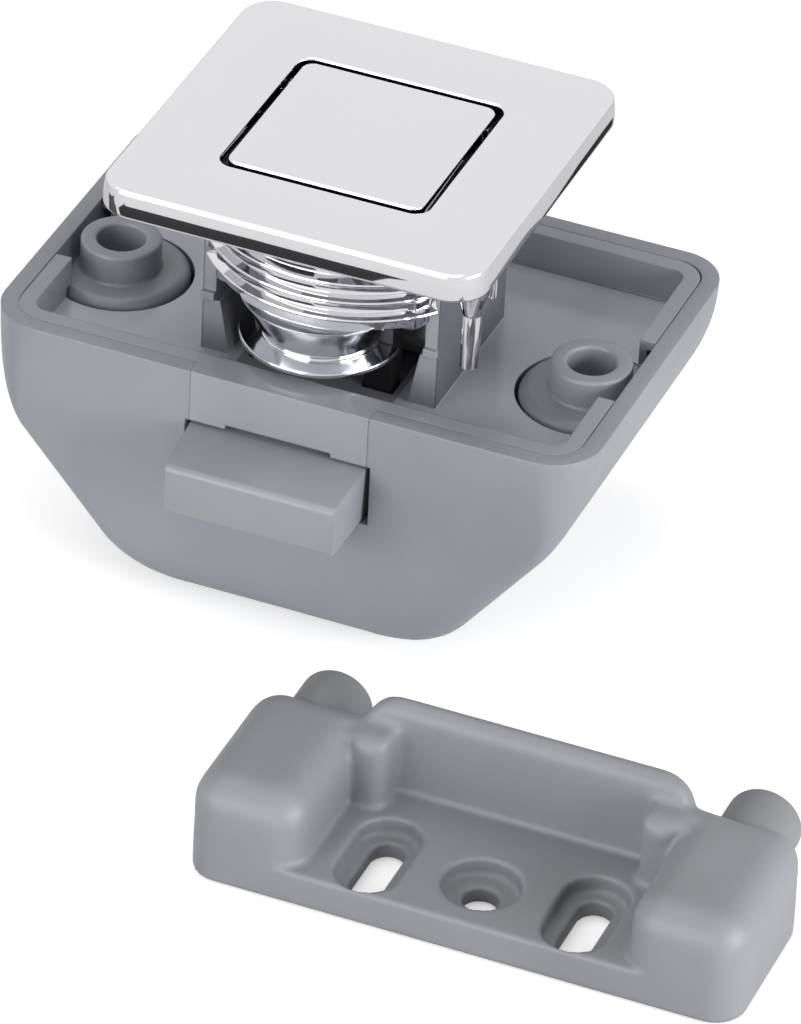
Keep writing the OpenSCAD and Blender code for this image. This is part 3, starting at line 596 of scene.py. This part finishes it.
wells = []
for side in (-1, 1):
    wells.append(well(DOOR_WELL, DOOR_WELL_TOP, side * COLUMN_X, 0.0, 48))
    wells.append(well(CASE_WELL, CASE_WELL_TOP, side * CASE_WELL_X, CASE_WELL_Y, 32))
well_cutter = add_object("well_cutter", mesh_of("well_cutter", *wells))
shell = worked(skin_mesh,
               ("SOLIDIFY", {"thickness": SHELL * MM, "offset": -1.0, "use_even_offset": True}),
               ("BOOLEAN", {"operation": "DIFFERENCE", "solver": "EXACT", "object": well_cutter}),
               ("BEVEL", {"width": SHELL_EDGE * MM, "segments": 3, "limit_method": "ANGLE",
                          "angle_limit": math.radians(55)}))
bpy.data.objects.remove(well_cutter)
shell.name = "case_shell"
shade_mesh(shell, 40.0)
place(shell, case_plastic, "lock_case", "housing")

# %% [markdown]
# ## Screw columns
# Each door screw goes up through a column: a slim tube that reaches the door, and a stout foot.
# They are turned profiles. Below, a column ends where it meets the curved side, so every point
# that would come out through the shell is lifted into it.

# %% Turn the columns
BORE, BORE_LOW, TUBE, TUBE_EDGE = 2.65, -10.0, 4.4, 0.35
FOOT, FOOT_TOP, FOOT_LOW, FOOT_FILLET, FOOT_ROUND = 7.6, -3.5, -30.0, 0.4, 1.2
INSIDE_SHELL, ABOVE_SHELL = 1.0, 0.8


def shell_height(x):
    """Height of the D's outside under a place, by sideways distance only."""
    outline_x, outline_z, _ = d_outline()
    return np.interp(np.abs(x), outline_x[::-1], outline_z[::-1])


def column_profile():
    """Bore, rounded rim, tube, shoulder and foot, as (radius, height) from the inside out."""
    rim = np.r_[arc((BORE + TUBE_EDGE, -TUBE_EDGE), TUBE_EDGE, 180, 90, 5),
                arc((TUBE - TUBE_EDGE, -TUBE_EDGE), TUBE_EDGE, 90, 0, 5)]
    foot = np.r_[arc((TUBE + FOOT_FILLET, FOOT_TOP + FOOT_FILLET), FOOT_FILLET, 180, 270, 4),
                 arc((FOOT - FOOT_ROUND, FOOT_TOP - FOOT_ROUND), FOOT_ROUND, 90, 0, 7)]
    inner = [(DOOR_WELL, FOOT_LOW), (DOOR_WELL, BORE_LOW), (BORE, BORE_LOW)]
    return np.r_[inner, rim, foot, [(FOOT, DOOR_WELL_TOP), (FOOT, FOOT_LOW)]]


columns = []
for side in (-1, 1):
    grid, wrap = lathe(column_profile(), (side * COLUMN_X, 0.0), 72)
    widest = case_high[0] - INSIDE_SHELL
    grid[..., 0] = np.clip(grid[..., 0], -widest, widest)
    grid[..., 2] = np.maximum(grid[..., 2], shell_height(grid[..., 0]) + ABOVE_SHELL)
    columns.append((grid, wrap + "rows"))
place(mesh_of("screw_columns", *columns, sharp=30.0), case_plastic, "lock_case",
      "housing")

# %% [markdown]
# ## Rosette
# The rosette is one chromed casting on the outer face of the door. Its plate is a section carried
# round a square: rounded outside, flat on top, and rounded again into the hole for the button. The
# collar under it fills the ring between the square hole and the barrel's widest circle.

# %% Plate and collar
PLATE_HALF, PLATE_CORNER, PLATE_FOOT, PLATE_EDGE, PLATE_DRAFT = 21.5, 4.0, 0.3, 0.45, 0.15
PLATE_SIDE = ((0.0, 0.36), (0.0, 1.25), (-PLATE_DRAFT / 5, 1.75))
HOLE_HALF, HOLE_CORNER, HOLE_EDGE = 11.8, 1.8, 0.24
COLLAR, COLLAR_LOW, INTO_PLATE, COLLAR_STEPS = 16.75, 15.9, 0.2, 96


def plate_profile():
    """Round the plate's section: outer side with its slight draft, top, hole and underside."""
    side = [(x, DOOR + up) for x, up in PLATE_SIDE]
    outer = np.r_[arc((-PLATE_FOOT, DOOR + PLATE_FOOT), PLATE_FOOT, -90, 0, 6), side,
                  arc((-PLATE_DRAFT - PLATE_EDGE, TOP - PLATE_EDGE), PLATE_EDGE, 0, 90, 7)]
    rows = [(PLATE_HALF + x, PLATE_CORNER + x, z) for x, z in outer]
    lip = arc((HOLE_EDGE, TOP - HOLE_EDGE), HOLE_EDGE, 90, 180, 6)
    rows += [(HOLE_HALF + x, HOLE_CORNER + x, z) for x, z in lip]
    return rows + [(HOLE_HALF, HOLE_CORNER, DOOR)]


def hole_radius(angle):
    """Distance from the middle to the rounded square hole in that direction."""
    ring = square_ring(HOLE_HALF, HOLE_CORNER)
    ring_angle = np.arctan2(ring[:, 1], ring[:, 0])
    order = np.argsort(ring_angle)
    return np.interp(angle, ring_angle[order], np.hypot(*ring[order].T), period=2 * np.pi)


def collar():
    """Disc between the square hole and the barrel's widest circle, just under the plate."""
    angle = np.linspace(-np.pi, np.pi, COLLAR_STEPS + 1)[:-1]
    inner, outer = hole_radius(angle), np.full(COLLAR_STEPS, COLLAR)
    high = DOOR + INTO_PLATE
    rows = []
    for radius, height in ((inner, high), (outer, high), (outer, COLLAR_LOW), (inner, COLLAR_LOW)):
        rows.append(np.stack([radius * np.cos(angle), radius * np.sin(angle),
                              np.full(COLLAR_STEPS, height)], -1))
    return np.stack(rows), "rows columns"


print("the plate's section has", len(plate_profile()), "points")

# %% [markdown]
# The barrel is round outside, with three ridges, and square inside. It is cut away at the left and
# right, where the tray's cheeks stand, so two arcs are left. A lathe can't do that. So each arc is
# a grid whose ends move with the radius: at every height it stops where it meets the cuts.

# %% Ridged barrel
BARREL, BARREL_LOW, BARREL_TOP, BARREL_EDGE, CUT_Y = 15.7, 6.1, 16.2, 0.25, 9.9
CRESTS, VALLEY, FLARE, LEAST_WALL = (7.8, 10.0, 12.2), (-0.09, 1.1), (13.7, 14.1), 0.05
RIDGE = ((0.0, -0.66), (0.45, -0.34), (0.72, -0.17), (0.8, 0.0), (0.72, 0.17), (0.45, 0.34),
         (0.0, 0.66))


def barrel_profile():
    """Outside of the barrel from its lower end up: three ridges, then the wide collar."""
    rows = [(BARREL - BARREL_EDGE, BARREL_LOW), (BARREL, BARREL_LOW + BARREL_EDGE)]
    for crest in CRESTS:
        rows += [(BARREL + out, crest + up) for out, up in RIDGE + (VALLEY,)]
    return np.array(rows + [(BARREL, FLARE[0]), (COLLAR, FLARE[1]), (COLLAR, BARREL_TOP)])


def barrel_arc(side, steps=60):
    """One arc of the barrel. At every height it runs between the two upright cuts for the cheeks:
    outside on its own circle, inside on the square hole, and its ends are closed to a point."""
    profile = barrel_profile()
    reach = np.arccos(CUT_Y / profile[:, 0])
    share = np.linspace(-1.0, 1.0, steps)
    angle = reach[:, None] * share
    inner_angle = math.atan2(HOLE_HALF, CUT_Y) * share
    least = hole_radius(side * math.pi / 2 + angle) + LEAST_WALL
    radius = np.maximum(profile[:, :1], least)
    height = np.broadcast_to(profile[:, 1:], angle.shape)
    inside = np.broadcast_to(hole_radius(side * math.pi / 2 + inner_angle), (2, steps))
    angle = np.vstack([angle, np.broadcast_to(inner_angle, (2, steps))])
    radius = np.vstack([radius, inside])
    height = np.vstack([height, np.full(steps, BARREL_TOP), np.full(steps, BARREL_LOW)])
    grid = np.stack([radius * np.sin(angle), side * radius * np.cos(angle), height], -1)
    ends = grid[:, [0, -1]].mean(axis=0, keepdims=True).repeat(len(grid), axis=0)
    return np.concatenate([ends[:, :1], grid, ends[:, 1:]], axis=1), "rows"


print("the barrel's section has", len(barrel_profile()), "points")

# %% [markdown]
# Three small forms hang below. The nose is a half-round foot under the front of the barrel; it is
# satin, so it is a piece of its own. The two stay pins under the plate enter the door and keep it
# from turning. Beside the right one is a bent wire loop, a round wire carried along a U.

# %% Nose, pins and wire loop
NOSE_Y, NOSE_LOW, FLANGE, FLANGE_TOP, FLANGE_EDGE = -9.15, 1.0, 8.8, 1.65, 0.18
WAIST, WAIST_FILLET, CONE, CONE_TOP = 6.33, 0.3, 8.9, 6.6
PIN_X, PIN_Y, PIN, PIN_LOW, PIN_EDGE = 19.3, 16.2, 1.04, 6.7, 0.25
PIN_ROOT = [(PIN, 13.3), (1.15, 13.5), (2.1, DOOR + INTO_PLATE), (0.0, DOOR + INTO_PLATE)]
LOOP_PLACE, LOOP_HALF, LOOP_LOW, LOOP_WIRE = (20.0, -12.9), 0.42, 13.4, 0.24


def nose():
    """Half-round foot under the barrel's front: a thin flange, then a cone that opens upwards."""
    flange = np.r_[[(0.0, NOSE_LOW)],
                   arc((FLANGE - FLANGE_EDGE, NOSE_LOW + FLANGE_EDGE), FLANGE_EDGE, -90, 0, 4),
                   arc((FLANGE - FLANGE_EDGE, FLANGE_TOP - FLANGE_EDGE), FLANGE_EDGE, 0, 90, 4)]
    waist = arc((WAIST + WAIST_FILLET, FLANGE_TOP + WAIST_FILLET), WAIST_FILLET, 270, 190, 5)
    section = np.r_[flange, waist, [(CONE, CONE_TOP), (0.0, CONE_TOP)]]
    return lathe(section, (0.0, NOSE_Y), 56, -90.0, 90.0)


def stay_pin(side):
    """Slim pin with a rounded tip and a conical root under the plate."""
    tip = np.r_[[(0.0, PIN_LOW)], arc((PIN - PIN_EDGE, PIN_LOW + PIN_EDGE), PIN_EDGE, -90, 0, 5)]
    return lathe(np.r_[tip, PIN_ROOT], (side * PIN_X, -side * PIN_Y), 32)


def wire_loop(middle, half, low, high, wire):
    """U-shaped loop in an upright plane: a round wire carried down, round a half circle and up."""
    bend = arc((0.0, low + half), half, 180.0, 360.0, 13)
    path = np.r_[[(-half, high)], bend, [(half, high)]]
    slope = np.gradient(path, axis=0)
    slope /= np.linalg.norm(slope, axis=1, keepdims=True)
    around = np.linspace(0.0, 2 * np.pi, 13)[:-1]
    x = path[:, :1] + wire * np.outer(slope[:, 1], np.cos(around))
    z = path[:, 1:] - wire * np.outer(slope[:, 0], np.cos(around))
    y = np.broadcast_to(wire * np.sin(around), x.shape)
    grid = np.stack([middle[0] + x, middle[1] + y, z], -1)
    ends = grid[[0, -1]].mean(axis=1, keepdims=True).repeat(len(around), axis=1)
    return np.concatenate([ends[:1], grid, ends[1:]]), "columns"


rosette_parts = [(square_sweep(plate_profile()), "rows columns"), collar(), barrel_arc(-1.0),
                 barrel_arc(1.0), stay_pin(1), stay_pin(-1),
                 wire_loop(LOOP_PLACE, LOOP_HALF, LOOP_LOW, DOOR + INTO_PLATE, LOOP_WIRE)]
place(mesh_of("rosette_casting", *rosette_parts, sharp=28.0), chrome, "lock_case",
      "rosette")
place(mesh_of("rosette_nose", nose(), sharp=28.0), satin_chrome, "lock_case", "rosette")

# %% [markdown]
# ## Button
# The button is a deep square cap that sits in the plate's hole with a thin even gap round it. It is
# a section carried round a square too: from the middle of its top out to the rounded edge, down the
# skirt, and up again inside, where it ends at the plunger's core.

# %% Button cap
BUTTON_HALF, BUTTON_CORNER, BUTTON_EDGE, SKIRT_EDGE = 11.03, 1.4, 0.26, 0.2
CAP_WALL, CAP_TOP = 1.2, 2.0
MIDDLE = (1e-4, 1e-5)


def button_profile():
    """From the middle of the top, over the edge, down and up inside to the middle again. Each
    middle is a square so small that it closes to a point."""
    edge = arc((-BUTTON_EDGE, TOP - BUTTON_EDGE), BUTTON_EDGE, 90, 0, 7)
    rows = [MIDDLE + (TOP,)] + [(BUTTON_HALF + x, BUTTON_CORNER + x, z) for x, z in edge]
    low, ceiling = box_mm("button_cap")[0][2], TOP - CAP_TOP
    inner = (BUTTON_HALF - CAP_WALL, BUTTON_CORNER - CAP_WALL)
    rows += [(BUTTON_HALF, BUTTON_CORNER, low + SKIRT_EDGE),
             (BUTTON_HALF - SKIRT_EDGE, BUTTON_CORNER - SKIRT_EDGE, low)]
    return rows + [inner + (low,), inner + (ceiling,), MIDDLE + (ceiling,)]


place(mesh_of("button_top", (square_sweep(button_profile()), "columns"), sharp=28.0), chrome,
      "button", "button_cap")

# %% [markdown]
# ## Buffers
# Two soft pegs are pressed into the keeper's back, so that a closing door doesn't bang. Each is a
# turned shape with its axis front to back, so the lathe's result is laid down: height becomes depth.

# %% Turn the buffers
PEG_EDGE, PEG_CROWN = 0.2, 0.9


def laid_down(grid, middle):
    """Turns an upright shape so that its axis runs front to back through the middle."""
    return np.stack([middle[0] + grid[..., 0], grid[..., 2], middle[2] - grid[..., 1]], -1)


for name in ("buffer_left", "buffer_right"):
    low, high = box_mm(name)
    radius = (high[0] - low[0]) / 2
    front = arc((radius - PEG_EDGE, low[1] + PEG_EDGE), PEG_EDGE, -90, 0, 3)
    crown = arc((radius - PEG_CROWN, high[1] - PEG_CROWN), PEG_CROWN, 0, 90, 8)
    grid, wrap = lathe(np.r_[[(0.0, low[1])], front, crown, [(0.0, high[1])]], steps=48)
    place(mesh_of(name + "_peg", (laid_down(grid, (low + high) / 2), wrap), sharp=40.0),
          buffer_rubber, "lock_case", name)

# %% [markdown]
# ## Keeper
# The keeper is one soft-edged moulding: where two of its walls meet there is always a fillet. A
# computed surface can't easily run such fillets round every corner, so this piece is made another
# way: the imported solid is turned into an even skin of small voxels, and smoothing that skin rounds
# all edges and fills all corners. Above the floor it is smoothed for longer, because the blocks and
# the wall are much rounder than the screw slots. A short bridge first joins each pocket column to
# its end block, because they run into each other on the real keeper.

# %% Fill the keeper's corners
BRIDGE_X, BRIDGE_BACK, BRIDGE_UP, BRIDGE_SIZE = 17.6, 3.4, 6.3, (3.8, 4.2, 10.6)


def frame_matrix(x_axis, y_axis, z_axis, origin):
    """The matrix of a frame with those axes at that place, in metres."""
    made = np.eye(4)
    for column, values in enumerate((x_axis, y_axis, z_axis, origin)):
        made[:3, column] = values
    return Matrix(made.tolist())


def fill_corners(mesh):
    """Adds a short bridge between each pocket column and its end block."""
    middle, back, low = (keeper_low[0] + keeper_high[0]) / 2, keeper_high[1], keeper_low[2]
    work = bmesh.new()
    work.from_mesh(mesh)
    for side in (-1, 1):
        centre = np.array([middle + side * BRIDGE_X, back - BRIDGE_BACK, low + BRIDGE_UP])
        grown = frame_matrix(*np.diag(BRIDGE_SIZE) * MM, centre * MM)
        bmesh.ops.create_cube(work, size=1.0, matrix=grown)
    work.to_mesh(mesh)
    work.free()


keeper_copy = close_mesh(nodes["strike_plate"].data.copy())
fill_corners(keeper_copy)
print("keeper before smoothing:", len(keeper_copy.polygons), "faces")

# %% Smooth the keeper
KEEPER_FLOOR, KEEPER_VOXEL, FIRST_PASSES, MORE_PASSES = 4.0, 0.28, 5, 16
ABOVE_FLOOR, SMOOTH_FADE = 0.3, 1.5


def smooth_above(mesh, height_mm, passes):
    """Moves points half way to the mean of their neighbours, in full from a height upwards."""
    count = len(mesh.vertices)
    points, pairs = np.empty(count * 3), np.empty(len(mesh.edges) * 2, int)
    mesh.vertices.foreach_get("co", points)
    mesh.edges.foreach_get("vertices", pairs)
    points, (one, other) = points.reshape(-1, 3), pairs.reshape(-1, 2).T
    share = 0.5 * np.clip((points[:, 2:] / MM - height_mm) / SMOOTH_FADE, 0.0, 1.0)
    near = np.bincount(pairs, minlength=count)
    for _ in range(passes):
        total = np.stack([np.bincount(one, points[other, axis], count)
                          + np.bincount(other, points[one, axis], count) for axis in range(3)], -1)
        points += share * (total / near[:, None] - points)
    mesh.vertices.foreach_set("co", points.ravel())


keeper = worked(keeper_copy, ("REMESH", {"mode": "VOXEL", "voxel_size": KEEPER_VOXEL * MM}),
                ("SMOOTH", {"factor": 0.5, "iterations": FIRST_PASSES}))
smooth_above(keeper, keeper_low[2] + KEEPER_FLOOR + ABOVE_FLOOR, MORE_PASSES)
keeper.name = "keeper_moulding"
keeper.shade_smooth()
place(keeper, keeper_plastic, "lock_case", "strike_plate")

# %% [markdown]
# ## Bolt
# The bolt is right as a solid, but its edges are too sharp: a moulded nose has soft edges that
# shine. A Bevel modifier rounds a copy of it, and its nose is drawn in a little towards the tip.

# %% Soften the bolt
BOLT_EDGE, BOLT_NOSE, BOLT_TAPER = 0.4, 7.5, 0.045


def softened_bolt():
    """Copy of the bolt with rounded edges; width falls by a share that grows along the nose."""
    copy = close_mesh(nodes["latch_bolt"].data.copy(), 30.0)
    soft = worked(copy, ("BEVEL", {"width": BOLT_EDGE * MM, "segments": 3,
                                   "limit_method": "ANGLE", "angle_limit": math.radians(40)}))
    points = np.empty(len(soft.vertices) * 3)
    soft.vertices.foreach_get("co", points)
    points = points.reshape(-1, 3)
    along = np.clip((case_low[1] * MM - points[:, 1]) / (BOLT_NOSE * MM), 0.0, 1.0)
    points[:, 0] *= 1.0 - BOLT_TAPER * along
    soft.vertices.foreach_set("co", points.ravel())
    soft.name = "bolt_moulding"
    shade_mesh(soft, 40.0)
    return soft


place(softened_bolt(), bolt_plastic, "bolt", "latch_bolt")

# %% [markdown]
# ## Springs
# A coil spring is a round wire carried along a helix. Its end turns lie flat, so the climb is slow
# at both ends.

# %% Wind the springs
FLAT_TURNS, FLAT_RISE = 0.6, 1.02
BUTTON_SPRING = {"mean": 3.4, "wire": 0.35, "turns": 7, "steps_per_turn": 22}
BOLT_SPRING = {"mean": 2.05, "wire": 0.25, "turns": 11, "steps_per_turn": 18}


def coil(low, high, mean, wire, turns, steps_per_turn, sides=8):
    """Upright helix of a round wire; the climb per turn eases in and out at the ends."""
    t = np.linspace(0.0, 1.0, int(turns * steps_per_turn) + 1)
    angle = 2 * np.pi * turns * t
    rest, flat = FLAT_TURNS / turns, wire * FLAT_RISE
    height = low + wire + flat * np.clip(t / rest, 0, 1) + flat * np.clip((t - 1 + rest) / rest, 0, 1)
    climb = np.clip((t - rest) / (1.0 - 2.0 * rest), 0.0, 1.0)
    height = height + climb * (high - low - 2 * wire - 2 * flat)
    around = np.linspace(0.0, 2 * np.pi, sides, endpoint=False)
    radius = mean + wire * np.cos(around)[None, :]
    grid = np.stack([radius * np.cos(angle)[:, None], radius * np.sin(angle)[:, None],
                     height[:, None] + wire * np.sin(around)[None, :]], -1)
    ends = grid[[0, -1]].mean(axis=1, keepdims=True).repeat(sides, axis=1)
    return np.concatenate([ends[:1], grid, ends[1:]]), "columns"


low, high = box_mm("plunger_spring")
spring = place(mesh_of("button_spring", coil(low[2], high[2], **BUTTON_SPRING), sharp=60.0),
               steel, None, "plunger_spring")
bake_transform(spring)

for name in ("bolt_spring_left", "bolt_spring_right"):
    low, high = box_mm(name)
    middle = (low + high) / 2
    grid, wrap = coil(low[1], high[1], **BOLT_SPRING)
    spring = place(mesh_of(name + "_coil", (laid_down(grid, middle), wrap), sharp=60.0), steel,
                   None, name)
    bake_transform(spring)

# %% [markdown]
# ## Camera
# The lock is shown as a product is photographed: from above and a little from the right, with a
# long lens, so that nothing narrows much towards the back. The camera is written as its turn about
# the lock, its lift above the horizon and its roll, which say more than nine numbers of a matrix.

# %% Camera
CAMERA = {"turn": 20.62, "lift": 34.74, "roll": 3.04, "right": 4.157, "up": -23.675,
          "far": 855.9, "lens": 282.8}
PIVOT = (0.0, 1.85, 0.0)


def camera_axes(turn, lift, roll):
    """Right, up and back of a camera that stands at that turn and lift, rolled about its view."""
    a, e, r = (math.radians(x) for x in (turn, lift, roll))
    back = np.array([math.sin(a) * math.cos(e), -math.cos(a) * math.cos(e), math.sin(e)])
    right = np.array([math.cos(a), math.sin(a), 0.0])
    up = np.cross(back, right)
    return math.cos(r) * right + math.sin(r) * up, math.cos(r) * up - math.sin(r) * right, back


right, up, back = camera_axes(CAMERA["turn"], CAMERA["lift"], CAMERA["roll"])
stand = CAMERA["right"] * right + CAMERA["up"] * up + CAMERA["far"] * back + PIVOT
camera_data = bpy.data.cameras.new("camera")
camera_data.lens = CAMERA["lens"]
camera_data.sensor_width = 36.0
camera_data.clip_start, camera_data.clip_end = 0.05, 50.0
camera = add_object("camera", camera_data)
camera.matrix_world = frame_matrix(right, up, back, stand * MM)
bpy.context.scene.camera = camera
print("camera at", np.round(stand), "mm")

# %% [markdown]
# ## Studio
# The photograph is a product cut-out on a white ground. A pale floor just under the lowest piece
# keeps the shadow, and its faint glow, which only the camera sees, lifts it to white.

# %% Floor
FLOOR_HALF, FLOOR_DROP, FLOOR_GLOW = 3.0, 0.0002, 0.45


def light_paths(tree):
    """What kind of ray looks at the surface: 1 or 0 for each kind, by its name."""
    return {ray.socket.name: ray for ray in node(tree, "ShaderNodeLightPath", {})}


floor_material, floor_tree, floor_sockets = start_material(
    "pale floor", Roughness=0.9, Base_Color=(0.86, 0.86, 0.86, 1.0),
    Emission_Color=(1.0, 1.0, 1.0, 1.0))
glow = light_paths(floor_tree)["Is Camera Ray"] * FLOOR_GLOW
connect(floor_tree, glow, floor_sockets["Emission Strength"])
floor_z = cad_box[0][2] - FLOOR_DROP
across = np.linspace(-FLOOR_HALF, FLOOR_HALF, 2) / MM
floor_grid = np.stack([*np.meshgrid(across, across, indexing="ij"),
                       np.full((2, 2), floor_z / MM)], -1)
floor = add_object("floor", mesh_of("floor", (floor_grid, "")))
floor.data.materials.append(floor_material)
print("floor at", round(floor_z / MM, 2), "mm")

# %% [markdown]
# Three soft lamps light the lock: a broad key from the front and left, a side lamp from the right
# that draws the edges of the case and the keeper, and a weak, very wide one above.

# %% Lamps
LAMPS = {
    "key": {"at": (-300, -720, 200), "aim": (0, -20, 0), "size": (700, 500), "power": 4.75},
    "side": {"at": (740, -150, 110), "aim": (0, -10, 0), "size": (600, 420), "power": 8.0},
    "top": {"at": (-120, -60, 760), "aim": (0, 0, 0), "size": (900, 600), "power": 2.15},
}


def area_lamp(name, at, aim, size, power):
    """A rectangular soft lamp that looks at a point; sizes and places in mm."""
    data = bpy.data.lights.new(name, "AREA")
    data.shape = "RECTANGLE"
    data.size, data.size_y = (s * MM for s in size)
    data.energy = power
    out = np.subtract(at, aim)
    out = out / np.linalg.norm(out)
    level = np.cross((0.0, 0.0, 1.0), out)
    level /= np.linalg.norm(level)
    lamp = add_object(name, data)
    lamp.matrix_world = frame_matrix(level, np.cross(out, level), out, np.array(at) * MM)


for name, values in LAMPS.items():
    area_lamp(name, **values)
print("lamps:", ", ".join(LAMPS))

# %% [markdown]
# Chrome on a white ground would look like paper. So a product photographer lays dark cards round
# the object, and the metal shows them as soft bands. These four lie level, just above the floor.
# Only mirrors see them, so they darken nothing else.

# %% Cards
CARD_Z = -30.6


def card_paint(name, grey):
    """Dull paint of an even grey."""
    return start_material(name, Roughness=1.0, Base_Color=(grey, grey, grey * 1.1, 1.0))[0]


def level_card(name, paint, low, high):
    """A level card between two corners in mm, that only mirrors see."""
    x, y = np.meshgrid([low[0], high[0]], [low[1], high[1]], indexing="ij")
    grid = np.stack([x, y, np.full((2, 2), CARD_Z)], -1)
    card = add_object(name, mesh_of(name, (grid, "")))
    card.data.materials.append(paint)
    card.visible_camera = card.visible_diffuse = card.visible_shadow = False
    card.visible_transmission = False


black_paint, grey_paint = card_paint("black card", 0.006), card_paint("grey card", 0.08)
level_card("front_card", black_paint, (-82, -122), (-13, -78))
level_card("left_card", grey_paint, (-125, -66), (-52, -20))
level_card("right_card", grey_paint, (-9, -77.5), (74, -62))
level_card("back_card", black_paint, (42, 40), (48, 100))
print("cards at", CARD_Z, "mm")

# %% [markdown]
# The world gives a weak even light from all sides. For the camera and in mirrors it is plain white.

# %% World
SKY_LIGHT, SKY_SEEN = 0.3, 1.0
world = bpy.data.worlds.new("white world")
bpy.context.scene.world = world
world.use_nodes = True
world_tree = world.node_tree
world_tree.nodes.clear()
rays = light_paths(world_tree)
direct = (rays["Is Camera Ray"] + rays["Is Glossy Ray"]
          + rays["Is Transmission Ray"]).math("MINIMUM", 1.0)
light = node(world_tree, "ShaderNodeBackground", {}, (1, 1, 1, 1), SKY_LIGHT)[0]
ground = node(world_tree, "ShaderNodeBackground", {}, (1, 1, 1, 1), SKY_SEEN)[0]
mixed = node(world_tree, "ShaderNodeMixShader", {}, direct, light, ground)[0]
node(world_tree, "ShaderNodeOutputWorld", {}, mixed)
bpy.context.scene.view_settings.view_transform = "Standard"
print("world light", SKY_LIGHT, "and", SKY_SEEN, "where it is seen")
